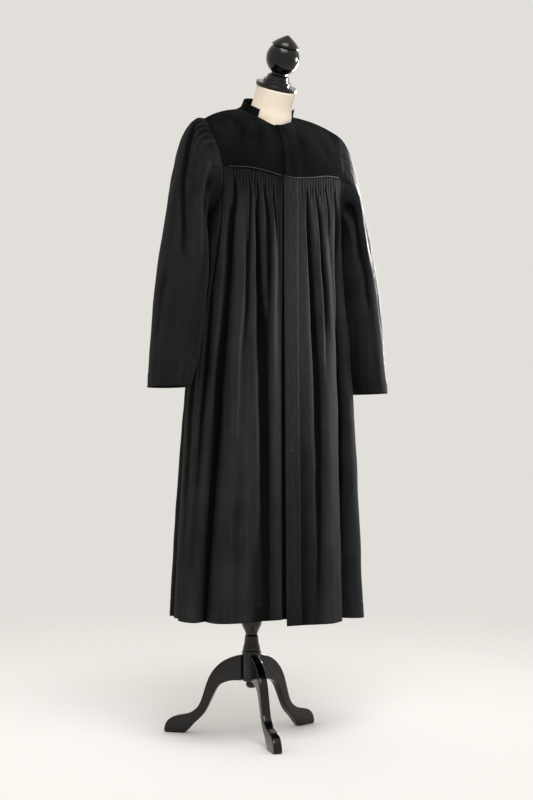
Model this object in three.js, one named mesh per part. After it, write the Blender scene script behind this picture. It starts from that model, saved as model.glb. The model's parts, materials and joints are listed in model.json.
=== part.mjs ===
// Clergy robe (a black preaching gown with a velvet yoke) on a limbless dress form with a turned stand.
// Millimetres, +Z up, the robe faces -Y and its wearer's left side is +X. Z 0 is the floor under the three feet.
import * as THREE from "three";

// ---- driving dimensions ---------------------------------------------------------------------------------------
const CLOTH = 1.3; // wall of the gown's wool cloth
const VELVET = 2.2; // wall of the lined velvet yoke and collar
const SEAM_GAP = 0.7; // between the middles of two edges that are sewn together
const HEM_Z = { left: 301, right: 317, backLeft: 306, backRight: 322 }; // heights of the hem above the floor
const YOKE_SEAM = { centreZ: 1402, cornerZ: 1413, centreY: -105, cornerY: -81, cornerX: 174 };
const BACK_SEAM = { centreZ: 1408, cornerZ: 1413, centreY: 100, cornerY: 70, cornerX: 174 };
const PLACKET = { left: -18, width: 40, proud: 4.5, thickness: 1.6 }; // fly strip on the wearer's left front
const UNDERLAP = 14; // how far the right front runs under the fly, from the middle towards the wearer's left
const GATHERS = { right: 18, left: 15, back: 40 }; // small pleats drawn into the yoke seam
const GATHER_BAND = 26; // height of the stitched band in which the pleats are held
const FLAT_END = 0.12; // share of a front, next to the armhole, that is not gathered
const SLEEVE_GATHERS = 13;
const ARMHOLE = { topZ: 1533, lowZ: 1308 };
const ARMHOLE_CORNER = 94; // degrees from the shoulder point to the yoke's corner, round the armhole
const NECKLINE = { radius: 64, level: 1576, slope: 0.523, dip: 8.5, pitAngle: -13, pitWidth: 26, forward: 4.5 };
const COLLAR = { height: 18, endHeight: 17.5, endAngle: 52, lean: 0.2 };
const PIPING = { radius: 1.3, sides: 6, end: 160, lift: 1.3, gap: 0.7 };
const NECK_CAP = { y: -45.6, z: 1636.6, tilt: 26, radius: 49.5, thickness: 9 };
const POST_AT = { x: -3, y: 67.5 }; // the stand's post, behind the middle of the robe
const LEG = { thickness: 22, turn: -15.4 }; // turn of the front leg, from -Y towards +X

// ---- small helpers --------------------------------------------------------------------------------------------
const RAD = Math.PI / 180;
const mix = (a, b, t) => a + (b - a) * t;
const clamp01 = (t) => Math.min(1, Math.max(0, t));
const smooth = (t) => clamp01(t) ** 2 * (3 - 2 * clamp01(t));
const bump = (x, width) => Math.exp(-((x / width) ** 2));
const V = (x, y, z) => new THREE.Vector3(x, y, z);

// Reads a table of rows sorted by its first column, with a smooth curve through each other column.
function tableCurve(rows, key) {
  const xs = rows.map((row) => row[key]);
  return (x, column) => {
    const above = xs.findIndex((v) => v > x);
    const i = above < 0 ? xs.length - 2 : Math.max(0, above - 1);
    const at = (k) => rows[Math.min(rows.length - 1, Math.max(0, k))];
    const slope = (k) => {
      const lo = at(k - 1);
      const hi = at(k + 1);
      return (hi[column] - lo[column]) / (hi[key] - lo[key]);
    };
    const h = xs[i + 1] - xs[i];
    const t = clamp01((x - xs[i]) / h);
    const t2 = t * t;
    const t3 = t2 * t;
    return (
      (2 * t3 - 3 * t2 + 1) * rows[i][column] + (t3 - 2 * t2 + t) * h * slope(i)
      + (3 * t2 - 2 * t3) * rows[i + 1][column] + (t3 - t2) * h * slope(i + 1)
    );
  };
}

// A sheet of triangles through rows of points. Rows may differ in their number of points: each point has a
// position u along its row, and neighbouring rows are zipped together in the order of u.
function sheet(rows, round = false) {
  const points = [];
  const index = rows.map((row) => row.map((entry) => points.push(entry.p) - 1));
  const faces = [];
  const add = (a, b, c) => {
    if (a !== b && b !== c && a !== c) faces.push([a, b, c]);
  };
  for (let r = 0; r + 1 < rows.length; r++) {
    const [upper, lower] = [rows[r], rows[r + 1]];
    const wrap = (list, k) => list[round && k === list.length ? 0 : k];
    const size = (row) => row.length + (round ? 0 : -1);
    let i = 0;
    let j = 0;
    while (i < size(upper) || j < size(lower)) {
      const nextUpper = i < size(upper) ? (upper[i + 1]?.u ?? upper[0].u + 1) : Infinity;
      const nextLower = j < size(lower) ? (lower[j + 1]?.u ?? lower[0].u + 1) : Infinity;
      if (nextUpper <= nextLower) {
        add(wrap(index[r], i), wrap(index[r + 1], j), wrap(index[r], i + 1));
        i++;
      } else {
        add(wrap(index[r], i), wrap(index[r + 1], j), wrap(index[r + 1], j + 1));
        j++;
      }
    }
  }
  return { points, faces };
}

// Gives a sheet its thickness: a copy on each side of it, joined along every open edge.
function wall({ points, faces }, thickness) {
  const normals = points.map(() => V(0, 0, 0));
  const open = new Map();
  for (const [a, b, c] of faces) {
    const n = V(0, 0, 0).crossVectors(points[b].clone().sub(points[a]), points[c].clone().sub(points[a]));
    for (const k of [a, b, c]) normals[k].add(n);
    for (const [from, to] of [[a, b], [b, c], [c, a]]) {
      if (open.has(`${to},${from}`)) open.delete(`${to},${from}`);
      else open.set(`${from},${to}`, [from, to]);
    }
  }
  const count = points.length;
  const position = [];
  for (const side of [0.5, -0.5]) {
    points.forEach((p, k) => {
      const q = p.clone().addScaledVector(normals[k].normalize(), side * thickness);
      position.push(q.x, q.y, q.z);
    });
  }
  const triangles = [];
  for (const [a, b, c] of faces) triangles.push(a, b, c, c + count, b + count, a + count);
  for (const [from, to] of open.values()) triangles.push(to, from, from + count, to, from + count, to + count);
  const geometry = new THREE.BufferGeometry();
  geometry.setAttribute("position", new THREE.Float32BufferAttribute(position, 3));
  geometry.setIndex(triangles);
  geometry.computeVertexNormals();
  return geometry;
}

// A closed solid through rings of points, with a flat fan at each end. mirrored says which quads along the rings
// are split the other way.
function loft(rings, mirrored = () => false) {
  const position = [];
  const triangles = [];
  const count = rings[0].length;
  for (const p of rings.flat()) position.push(p.x, p.y, p.z);
  for (let r = 0; r + 1 < rings.length; r++) {
    for (let k = 0; k < count; k++) {
      const [a, b] = [r * count + k, r * count + ((k + 1) % count)];
      if (mirrored(k)) triangles.push(a, b, a + count, b, b + count, a + count);
      else triangles.push(a, b, b + count, a, b + count, a + count);
    }
  }
  for (const [ring, first] of [[0, 0], [rings.length - 1, (rings.length - 1) * count]]) {
    const middle = rings[ring].reduce((sum, p) => sum.add(p), V(0, 0, 0)).divideScalar(count);
    const hub = position.push(middle.x, middle.y, middle.z) / 3 - 1;
    for (let k = 0; k < count; k++) {
      const [a, b] = [first + k, first + ((k + 1) % count)];
      if (ring === 0) triangles.push(hub, b, a);
      else triangles.push(hub, a, b);
    }
  }
  const geometry = new THREE.BufferGeometry();
  geometry.setAttribute("position", new THREE.Float32BufferAttribute(position, 3));
  geometry.setIndex(triangles);
  geometry.computeVertexNormals();
  return geometry;
}

// ---- the gown below the yoke ----------------------------------------------------------------------------------
// Horizontal sections: half width at the side seams, depth to the front and to the back of the middle, and the
// exponents of the two rounded rectangles that they are drawn with.
const SECTIONS = [
  { z: 301, side: 256, front: 118, back: 186, squareFront: 3.1, squareBack: 2.1 },
  { z: 600, side: 244, front: 114, back: 152, squareFront: 3.1, squareBack: 2.1 },
  { z: 880, side: 228, front: 110, back: 120, squareFront: 3.1, squareBack: 2.1 },
  { z: 1092, side: 200, front: 107, back: 112, squareFront: 3.2, squareBack: 2.2 },
  { z: 1200, side: 187, front: 106, back: 110, squareFront: 3.2, squareBack: 2.4 },
  { z: 1308, side: 181, front: 106, back: 106, squareFront: 3.0, squareBack: 2.6 },
  { z: 1415, side: 182, front: 105, back: 100, squareFront: 3.0, squareBack: 2.8 },
];

// The large folds. u is 0 at the centre front, 1 at the wearer's left side seam, -1 at the right one and 2 at the
// centre back. Each fold has its place, its depth (inward is negative) and its half width, at four levels.
const FOLD_LEVELS = [301, 880, 1130, 1350];
const FOLDS = [
  // [name, [places at the four levels], [depths], [half widths]]
  ["right side recess", [-0.95, -0.94, -0.94, -0.93], [-6, -14, -20, -4], [0.07, 0.07, 0.08, 0.08]],
  ["right outer", [-0.85, -0.83, -0.8, -0.79], [-4, -10, -9, -2], [0.05, 0.035, 0.03, 0.03]],
  ["right main", [-0.73, -0.69, -0.655, -0.65], [-38, -24, -14, -3], [0.055, 0.042, 0.034, 0.03]],
  ["right panel lift", [-0.5, -0.5, -0.52, -0.52], [18, 9, 3, 0], [0.17, 0.12, 0.08, 0.08]],
  ["right shallow", [-0.5, -0.48, -0.46, -0.46], [-3, -3, -6, -2], [0.06, 0.04, 0.03, 0.03]],
  ["right inner", [-0.27, -0.31, -0.36, -0.37], [-9, -16, -12, -3], [0.05, 0.04, 0.03, 0.025]],
  ["right second", [-0.26, -0.26, -0.26, -0.26], [0, -3, -10, -3], [0.03, 0.03, 0.026, 0.022]],
  ["right by the fly", [-0.12, -0.125, -0.14, -0.14], [-9, -7, -5, -2], [0.04, 0.03, 0.024, 0.022]],
  ["left by the fly", [0.2, 0.26, 0.2, 0.2], [-3, -12, -12, -3], [0.04, 0.04, 0.03, 0.025]],
  ["left second", [0.34, 0.34, 0.34, 0.34], [0, 0, -9, -3], [0.03, 0.03, 0.024, 0.022]],
  ["left panel lift", [0.3, 0.36, 0.42, 0.42], [22, 10, 3, 0], [0.15, 0.13, 0.1, 0.1]],
  ["left third", [0.46, 0.48, 0.48, 0.48], [0, -4, -9, -3], [0.04, 0.035, 0.026, 0.024]],
  ["left main", [0.585, 0.62, 0.62, 0.62], [-72, -33, -14, -3], [0.065, 0.047, 0.034, 0.028]],
  ["left side swell", [0.8, 0.78, 0.78, 0.78], [10, 4, 0, 0], [0.08, 0.06, 0.05, 0.05]],
  ["left outer", [0.84, 0.8, 0.76, 0.75], [0, -3, -9, -2], [0.05, 0.035, 0.03, 0.03]],
  ["left side recess", [0.95, 0.94, 0.94, 0.93], [-6, -14, -20, -4], [0.07, 0.07, 0.08, 0.08]],
  ["left side recess behind", [1.07, 1.07, 1.07, 1.07], [-4, -10, -14, -6], [0.07, 0.07, 0.08, 0.08]],
  ["right side recess behind", [2.93, 2.93, 2.93, 2.93], [-4, -10, -14, -6], [0.07, 0.07, 0.08, 0.08]],
  ["back left outer", [1.14, 1.15, 1.16, 1.17], [-26, -17, -10, -2], [0.045, 0.038, 0.032, 0.03]],
  ["back left second", [1.33, 1.32, 1.31, 1.3], [-20, -16, -12, -3], [0.05, 0.04, 0.032, 0.026]],
  ["back left third", [1.46, 1.46, 1.45, 1.44], [0, -5, -9, -3], [0.04, 0.032, 0.026, 0.024]],
  ["back left fourth", [1.63, 1.61, 1.59, 1.58], [-28, -19, -12, -3], [0.055, 0.042, 0.032, 0.026]],
  ["back left inner", [1.76, 1.75, 1.74, 1.73], [-3, -7, -10, -3], [0.04, 0.034, 0.028, 0.024]],
  ["back middle", [1.93, 1.92, 1.9, 1.9], [-24, -17, -11, -3], [0.055, 0.042, 0.032, 0.026]],
  ["back right inner", [2.13, 2.11, 2.09, 2.08], [-4, -9, -10, -3], [0.045, 0.034, 0.028, 0.024]],
  ["back right second", [2.28, 2.27, 2.25, 2.24], [-27, -19, -12, -3], [0.055, 0.042, 0.032, 0.026]],
  ["back right third", [2.45, 2.44, 2.42, 2.41], [-3, -8, -10, -3], [0.04, 0.034, 0.028, 0.024]],
  ["back right fourth", [2.62, 2.6, 2.58, 2.56], [-24, -17, -12, -3], [0.05, 0.04, 0.032, 0.026]],
  ["back right outer", [2.82, 2.82, 2.81, 2.8], [-20, -15, -9, -2], [0.045, 0.038, 0.032, 0.03]],
];

const section = tableCurve(SECTIONS, "z");
const ARC_STEPS = 60;

// The outline from the centre front or back to a side seam, measured along the cloth.
function quarter(z, front) {
  const side = section(z, "side");
  const depth = section(z, front ? "front" : "back");
  const power = 2 / section(z, front ? "squareFront" : "squareBack");
  const xs = [];
  const ys = [];
  const lengths = [];
  for (let k = 0; k <= ARC_STEPS; k++) {
    const angle = (k / ARC_STEPS) * 90 * RAD;
    xs.push(side * Math.sin(angle) ** power);
    ys.push(depth * Math.max(0, Math.cos(angle)) ** power);
    lengths.push(k ? lengths[k - 1] + Math.hypot(xs[k] - xs[k - 1], ys[k] - ys[k - 1]) : 0);
  }
  return { xs, ys, lengths, total: lengths[ARC_STEPS] };
}

// A point on the plain section at height z, with no folds.
function onSection(u, z) {
  const wrapped = u < -1 ? u + 4 : u;
  const front = wrapped <= 1;
  const q = quarter(z, front);
  const fromMiddle = front ? Math.abs(wrapped) : Math.abs(2 - wrapped);
  const sign = front ? Math.sign(wrapped) || 1 : Math.sign(2 - wrapped) || 1;
  const target = fromMiddle * q.total;
  let k = 1;
  while (k < ARC_STEPS && q.lengths[k] < target) k++;
  const t = (target - q.lengths[k - 1]) / (q.lengths[k] - q.lengths[k - 1]);
  return V(sign * mix(q.xs[k - 1], q.xs[k], t), (front ? -1 : 1) * mix(q.ys[k - 1], q.ys[k], t), z);
}

function foldDepth(u, z) {
  const above = FOLD_LEVELS.findIndex((level) => level > z);
  const i = above < 0 ? FOLD_LEVELS.length - 2 : Math.max(0, above - 1);
  const t = clamp01((z - FOLD_LEVELS[i]) / (FOLD_LEVELS[i + 1] - FOLD_LEVELS[i]));
  const at = (list) => mix(list[i], list[i + 1], t);
  let depth = 0;
  for (const [, places, depths, widths] of FOLDS) {
    const away = ((u - at(places) + 6) % 4) - 2;
    depth += at(depths) * bump(away, at(widths));
  }
  return depth;
}

// A point on the folded gown, moved out by extra along the section's normal.
function onGown(u, z, extra = 0) {
  const step = 0.012;
  const along = onSection(u + step, z).sub(onSection(u - step, z));
  const normal = V(along.y, -along.x, 0).normalize();
  return onSection(u, z).addScaledVector(normal, foldDepth(u, z) + extra);
}

// ---- the edges that the pieces share --------------------------------------------------------------------------
// The armhole of the wearer's left side, by the angle from the shoulder point down to the underarm at 180.
const ARMHOLE_FRONT = [
  { turn: 0, x: 197, y: -36 }, { turn: 20, x: 193, y: -39 }, { turn: 45, x: 186, y: -50 },
  { turn: 60, x: 181.5, y: -61 }, { turn: 76, x: 177, y: -72 }, { turn: 94, x: 174, y: -81 },
  { turn: 112, x: 172.5, y: -80 }, { turn: 135, x: 173.5, y: -62 }, { turn: 158, x: 176, y: -31 },
  { turn: 180, x: 178, y: 0 },
];
const ARMHOLE_BACK = [
  { turn: 0, x: 197, y: -36 }, { turn: 20, x: 194.5, y: -10 }, { turn: 45, x: 188.5, y: 24 },
  { turn: 70, x: 181, y: 54 }, { turn: 94, x: 174, y: 70 }, { turn: 120, x: 173, y: 68 },
  { turn: 150, x: 175.5, y: 42 }, { turn: 180, x: 178, y: 0 },
];
const armholeFront = tableCurve(ARMHOLE_FRONT, "turn");
const armholeBack = tableCurve(ARMHOLE_BACK, "turn");

function armhole(degrees, side = 1) {
  const curve = degrees > 0 ? armholeFront : armholeBack;
  const turn = Math.abs(degrees);
  const z = (ARMHOLE.topZ + ARMHOLE.lowZ) / 2 + ((ARMHOLE.topZ - ARMHOLE.lowZ) / 2) * Math.cos(turn * RAD);
  return V(side * curve(turn, "x"), curve(turn, "y"), z);
}

// The seam under the yoke, by the distance from the middle, at the front or the back.
function yokeSeam(x, seam) {
  const share = Math.abs(x) / seam.cornerX;
  return V(x, mix(seam.centreY, seam.cornerY, share ** 2.6), mix(seam.centreZ, seam.cornerZ, share ** 1.5));
}

// ---- the front and back panels --------------------------------------------------------------------------------
const CORNER_SHARE = 0.69; // place of the yoke's corner, as a share of the way from the middle to a side seam
const GATHER_END = CORNER_SHARE - FLAT_END * 0.58; // the last pleat before the armhole
const SEAM_LENGTH = YOKE_SEAM.cornerX / CORNER_SHARE; // cloth from the middle to the side seam, at the yoke
const DROPS = [0, GATHER_BAND, 65, 130, 220, 340, 500, 700, 900, 1100]; // rows of points, down from the yoke seam
const TALLEST = DROPS.at(-1);
const LAYER_LIFT = 2.4; // the left front lies this far over the right one
const PLEAT_DEPTHS = [
  { drop: 0, depth: 1.4 }, { drop: 26, depth: 1.6 }, { drop: 65, depth: 2.4 }, { drop: 130, depth: 2.2 },
  { drop: 220, depth: 1.6 }, { drop: 340, depth: 0.8 }, { drop: 500, depth: 0 }, { drop: 1100, depth: 0 },
];
const pleatDepth = tableCurve(PLEAT_DEPTHS, "drop");

// How far the wearer's left front is lifted over the right one, by the distance from the middle.
const overlapLift = (x, lift) => lift * (1 - smooth((x - UNDERLAP - 2) / 30));

// The top edge of a panel: on the yoke seam up to the corner, on the armhole beyond it. a is 0 in the middle and
// 1 at the side seam; side is 1 for the wearer's left; seam is the yoke seam of the front or the back.
function panelTop(a, side, seam) {
  if (a <= CORNER_SHARE) {
    const p = yokeSeam((side * a * seam.cornerX) / CORNER_SHARE, seam);
    p.z -= SEAM_GAP / 2;
    return p;
  }
  const turn = ARMHOLE_CORNER + (180 - ARMHOLE_CORNER) * ((a - CORNER_SHARE) / (1 - CORNER_SHARE)) ** 0.75;
  const p = armhole(seam === YOKE_SEAM ? turn : -turn, side);
  p.z -= SEAM_GAP / 2;
  return p;
}

// A point of a panel: a across (as panelTop), drop down from the yoke, edge the panel's straight edge in mm from
// the middle, extra the distance out from the plain cloth.
function onPanel(a, drop, { side, seam, hem, edge = 0 }, extra = 0) {
  const top = panelTop(a, side, seam);
  const z = mix(top.z, hem, drop / TALLEST);
  const front = seam === YOKE_SEAM;
  const width = quarter(z, front).total;
  const along = (a * SEAM_LENGTH - edge) / (SEAM_LENGTH - edge);
  const share = (edge + (width - edge) * along) / width;
  const u = front ? side * share : 2 - side * share;
  const topWidth = quarter(top.z, front).total;
  const topShare = (edge + (topWidth - edge) * along) / topWidth;
  const hung = onGown(u, z, extra);
  const start = onGown(front ? side * topShare : 2 - side * topShare, top.z);
  return hung.addScaledVector(top.sub(start), 1 - smooth(drop / 260));
}

// The zigzag of small pleats between two places a, with uneven depths and spacing.
function pleats(count, from, to, seed) {
  const list = [];
  for (let k = 0; k <= 2 * count; k++) {
    const uneven = Math.sin(k * 2.4 + seed) * 0.5 + Math.sin(k * 1.1 + 2 * seed) * 0.5;
    const end = k === 0 || k === 2 * count;
    list.push({
      a: mix(from, to, (k + (end ? 0 : 0.22 * uneven)) / (2 * count)),
      pleat: end ? 0 : (k % 2 ? 1 : -1) * (1 + 0.25 * uneven),
    });
  }
  return list;
}

const flat = (...places) => places.map((a) => ({ a, pleat: 0 }));
const SEAM_SHARE = SEAM_GAP / 2 / SEAM_LENGTH;
const ARMHOLE_PLACES = [0.72, 0.77, 0.84, 0.92];

function panelRows(columns, layout, lift = () => 0) {
  return DROPS.map((drop) =>
    columns.map(({ a, pleat, ...own }, u) => {
      const extra = pleat * pleatDepth(drop, "depth") + lift(a * SEAM_LENGTH);
      return { p: onPanel(a, drop, { ...layout, ...own }, extra), u };
    }),
  );
}

const RIGHT = { side: -1, seam: YOKE_SEAM, hem: HEM_Z.right, edge: -UNDERLAP };
const LEFT = { side: 1, seam: YOKE_SEAM, hem: HEM_Z.left, edge: PLACKET.left + 1 };
const BACK = { side: 1, seam: BACK_SEAM, hem: HEM_Z.backLeft };

function frontRight() {
  const columns = [
    ...flat(-UNDERLAP / SEAM_LENGTH, 0, 0.07),
    ...pleats(GATHERS.right, 0.085, GATHER_END, 1),
    ...flat(CORNER_SHARE, ...ARMHOLE_PLACES, 1 - SEAM_SHARE),
  ];
  return wall(sheet(panelRows(columns, RIGHT)), CLOTH);
}

function frontLeft() {
  const columns = [
    ...flat(LEFT.edge / SEAM_LENGTH, 0, 0.09),
    ...pleats(GATHERS.left, 0.105, GATHER_END, 2),
    ...flat(CORNER_SHARE, ...ARMHOLE_PLACES, 1 - SEAM_SHARE),
  ];
  return wall(sheet(panelRows(columns, LEFT, (x) => overlapLift(x, LAYER_LIFT))), CLOTH);
}

function back() {
  const half = flat(1 - SEAM_SHARE, ...ARMHOLE_PLACES.toReversed(), CORNER_SHARE);
  const middle = pleats(GATHERS.back, GATHER_END, -GATHER_END, 3);
  const columns = [
    ...half.map((column) => ({ ...column, side: 1 })),
    ...middle.map(({ a, pleat }) => ({ a: Math.abs(a), pleat, side: Math.sign(a) || 1 })),
    ...half.toReversed().map((column) => ({ ...column, side: -1 })),
  ];
  for (const column of columns) {
    column.hem = mix(HEM_Z.backRight, HEM_Z.backLeft, (1 + column.side * column.a) / 2);
  }
  return wall(sheet(panelRows(columns, BACK)), CLOTH);
}

function flyPlacket() {
  const places = [0, 1 / 3, 2 / 3, 1].map((t) => PLACKET.left + PLACKET.width * t);
  const rows = DROPS.map((drop) => {
    const z = mix(YOKE_SEAM.centreZ, HEM_Z.left, drop / TALLEST);
    const narrower = (SEAM_LENGTH - LEFT.edge) / (quarter(z, true).total - LEFT.edge);
    return places.map((x, u) => {
      const a = (LEFT.edge + (x - LEFT.edge) * narrower) / SEAM_LENGTH;
      return { p: onPanel(a, drop, LEFT, PLACKET.proud), u };
    });
  });
  return wall(sheet(rows), PLACKET.thickness);
}

// ---- the yoke -------------------------------------------------------------------------------------------------
// Round the yoke, c is 0 at the centre front, 1 at the front corner, 2 on the shoulder, 3 at the back corner and 4
// at the centre back. Every ray from the neckline to the yoke's edge swells by so many millimetres on the way.
const YOKE_ANGLES = [
  { c: 0, angle: 0 }, { c: 0.11, angle: 15.3 }, { c: 0.4, angle: 26 }, { c: 1, angle: 41 }, { c: 2, angle: 90 },
  { c: 3, angle: 139 }, { c: 4, angle: 180 },
];
const YOKE_SWELL = [
  { c: 0, out: 4, up: 1 }, { c: 1, out: 14, up: 8 }, { c: 1.5, out: 8, up: 10 }, { c: 2, out: 0, up: 9 },
  { c: 2.5, out: -9, up: 10 }, { c: 3, out: -16, up: 6 }, { c: 4, out: -8, up: 1 },
];
const YOKE_ROWS = [0, 0.14, 0.32, 0.5, 0.68, 0.85, 1];
const SHOULDER_GAP = 1.6; // between the middles of the front and back yoke at the shoulder seam
const YOKE_LIFT = 3; // the left yoke lies this far over the right one
const neckAngle = tableCurve(YOKE_ANGLES, "c");
const swell = tableCurve(YOKE_SWELL, "c");

// The neckline, by the angle from the front. It dips to where the two fronts cross, just right of the middle.
function neckline(angle, side = 1) {
  const { radius, level, slope, dip, pitAngle, pitWidth, forward } = NECKLINE;
  const pit = bump(side * angle - pitAngle, pitWidth);
  const reach = radius + forward * pit;
  const y = -reach * Math.cos(angle * RAD);
  return V(side * reach * Math.sin(angle * RAD), y, level + slope * y - dip * pit);
}

function yokeEdge(c, side) {
  if (c <= 1) return yokeSeam(side * c * YOKE_SEAM.cornerX, YOKE_SEAM);
  if (c <= 3) return armhole(ARMHOLE_CORNER * (2 - c), side);
  return yokeSeam(side * (4 - c) * BACK_SEAM.cornerX, BACK_SEAM);
}

function onYoke(c, q, side) {
  const angle = Math.sign(c) * neckAngle(Math.abs(c), "angle");
  const p = neckline(angle, side).lerp(yokeEdge(c, side), q);
  const rise = 4 * q * (1 - q);
  p.y -= swell(Math.abs(c), "out") * rise;
  p.z += swell(Math.abs(c), "up") * rise;
  return p;
}

// A yoke piece between two places round the neck. Its lower edge stops short of the gown and its shoulder seam.
function yokeRows(places, lift = () => 0) {
  return YOKE_ROWS.map((q) =>
    places.map(({ c, side, shift = 0 }, u) => {
      const p = onYoke(c, q, side);
      const seamed = q === 1 && (c <= 1 || c >= 3);
      if (seamed) p.z += SEAM_GAP / 2;
      p.y += shift;
      const raise = lift(p.x);
      p.y -= raise * 0.96;
      p.z += raise * 0.28;
      return { p, u };
    }),
  );
}

const FRONT_PLACES = [0.12, 0.3, 0.5, 0.75, 1, 1.2, 1.4, 1.6, 1.8];

function yokeFront(side) {
  const first = side > 0 ? [PLACKET.left / YOKE_SEAM.cornerX, 0] : [-UNDERLAP / YOKE_SEAM.cornerX, 0];
  const places = [...first, ...FRONT_PLACES].map((c) => ({ c, side }));
  places.push({ c: 2, side, shift: -SHOULDER_GAP / 2 });
  const lift = side > 0 ? (x) => overlapLift(x, YOKE_LIFT) : () => 0;
  return wall(sheet(yokeRows(places, lift)), VELVET);
}

function yokeBack() {
  const half = [2.2, 2.4, 2.6, 2.8, 3, 3.25, 3.5, 3.75];
  const places = [
    { c: 2, side: 1, shift: SHOULDER_GAP / 2 },
    ...half.map((c) => ({ c, side: 1 })),
    { c: 4, side: 1 },
    ...half.toReversed().map((c) => ({ c, side: -1 })),
    { c: 2, side: -1, shift: SHOULDER_GAP / 2 },
  ];
  return wall(sheet(yokeRows(places)), VELVET);
}

// The standing collar: a band round the back of the neck, leaning in with the neck.
const COLLAR_STEPS = 26;
const NECK_TILT = 27; // degrees that the neck leans forward

function collar() {
  const rows = [1, 0.5, 0].map((share) => {
    const row = [];
    for (let k = 0; k <= COLLAR_STEPS; k++) {
      const angle = mix(COLLAR.endAngle, 360 - COLLAR.endAngle, k / COLLAR_STEPS);
      const base = neckline(angle > 180 ? 360 - angle : angle, angle > 180 ? -1 : 1);
      const height = mix(COLLAR.endHeight, COLLAR.height, smooth(Math.sin(((angle - 49) / 262) * 180 * RAD)));
      const inward = V(-base.x, -base.y, 0).normalize().multiplyScalar(COLLAR.lean);
      const rise = V(0, -Math.sin(NECK_TILT * RAD), Math.cos(NECK_TILT * RAD)).add(inward).normalize();
      row.push({ p: base.addScaledVector(rise, 2 + share * height), u: k });
    }
    return row;
  });
  return wall(sheet(rows), VELVET);
}

// ---- piping on the yoke's lower edge --------------------------------------------------------------------------
function cord(path, radius) {
  const rings = path.map((p, k) => {
    const along = path[Math.min(k + 1, path.length - 1)].clone().sub(path[Math.max(k - 1, 0)]).normalize();
    const out = V(along.y, -along.x, 0).normalize();
    const up = V(0, 0, 0).crossVectors(along, out);
    const ring = [];
    for (let s = 0; s < PIPING.sides; s++) {
      const angle = (s / PIPING.sides) * 360 * RAD;
      ring.push(p.clone().addScaledVector(out, radius * Math.cos(angle)).addScaledVector(up, radius * Math.sin(angle)));
    }
    return ring;
  });
  return loft(rings);
}

const PIPING_OFFSET = VELVET / 2 + PIPING.gap + PIPING.radius;

function piping(xs, seam, lift) {
  const away = seam === YOKE_SEAM ? -1 : 1;
  const path = xs.map((x) => {
    const p = yokeSeam(x, seam);
    const along = yokeSeam(x + 1, seam).sub(yokeSeam(x - 1, seam));
    const out = V(-along.y, along.x, 0).normalize().multiplyScalar(away);
    p.addScaledVector(out, PIPING_OFFSET);
    p.y += away * lift(x);
    p.z += PIPING.lift;
    return p;
  });
  return cord(path, PIPING.radius);
}

// ---- the sleeves ----------------------------------------------------------------------------------------------
// Rings down the wearer's left sleeve: its outer and inner edge seen from the front, its middle from front to back,
// how far it reaches to the front and to the back, its saddle shape, how far its top leans forward, and how much its
// front falls straight from the shoulder instead of round.
const SLEEVE_RINGS = [
  { s: 0, outX: 197, outZ: 1533, inX: 178, inZ: 1308, y: -18, front: 60, back: 86, saddle: 14, lean: 18, fall: 1 },
  { s: 1, outX: 211, outZ: 1529, inX: 184, inZ: 1303, y: -17, front: 65, back: 85, saddle: 9, lean: 17, fall: 1 },
  { s: 2, outX: 227, outZ: 1514, inX: 190, inZ: 1299, y: -15, front: 71, back: 84, saddle: 4, lean: 14, fall: 1 },
  { s: 3, outX: 244, outZ: 1480, inX: 195, inZ: 1292, y: -13, front: 75, back: 82, saddle: 1, lean: 10, fall: 1 },
  { s: 4, outX: 258, outZ: 1420, inX: 198, inZ: 1281, y: -11, front: 78, back: 81, saddle: 0, lean: 5, fall: 0.8 },
  { s: 5, outX: 269, outZ: 1345, inX: 198, inZ: 1262, y: -9, front: 81, back: 81, saddle: 0, lean: 1, fall: 0.5 },
  { s: 6, outX: 283, outZ: 1255, inX: 196, inZ: 1204, y: -9, front: 89, back: 87, saddle: 0, lean: 0, fall: 0.2 },
  { s: 7, outX: 297, outZ: 1174, inX: 198, inZ: 1146, y: -9, front: 95, back: 93, saddle: 0, lean: 0, fall: 0 },
  { s: 8, outX: 309, outZ: 1092, inX: 204, inZ: 1085, y: -10, front: 98, back: 98, saddle: 0, lean: 0, fall: 0 },
  { s: 9, outX: 318, outZ: 1010, inX: 213, inZ: 1005, y: -12, front: 93, back: 94, saddle: 0, lean: 0, fall: 0 },
  { s: 10, outX: 326, outZ: 935, inX: 229, inZ: 930, y: -15, front: 85, back: 86, saddle: 0, lean: 0, fall: 0 },
  { s: 11, outX: 331, outZ: 883, inX: 246, inZ: 882, y: -17, front: 80, back: 80, saddle: 0, lean: 0, fall: 0 },
];
const HEAD_PLEATS = [
  { s: 0, depth: 1.3 }, { s: 1, depth: 1.8 }, { s: 2, depth: 2.3 }, { s: 3, depth: 2 }, { s: 4, depth: 1 },
  { s: 5, depth: 0 },
];
const sleeveRing = tableCurve(SLEEVE_RINGS, "s");
const headPleat = tableCurve(HEAD_PLEATS, "s");
const HEAD_RINGS = 4; // the first rings carry the pleats at the head of the sleeve
const HEAD_REACH = 66; // degrees of the armhole, either way from the shoulder, that are pleated
const LOWER_COLUMNS = 24;
const HIGH_GAP = 1.9; // the armhole seam's gap above and below the yoke's corner, in seam gaps
const LOW_GAP = 2.3;
const LEFT_SLEEVE = { out: 5, down: 6 }; // the wearer's left cuff hangs this much further out and lower
const BACK_FALL = 0.1; // the back of the sleeve head falls this much less straight than its front

// Long soft creases: the place round the arm (0 outside, positive to the front) at the shoulder and at the cuff.
const SLEEVE_CREASES = [
  { top: 62, cuff: 42, depth: -7, width: 13 },
  { top: 105, cuff: 96, depth: -9, width: 15 },
  { top: 20, cuff: 2, depth: -4, width: 11 },
  { top: -52, cuff: -40, depth: -7, width: 14 },
  { top: -104, cuff: -92, depth: -8, width: 15 },
];

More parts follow.
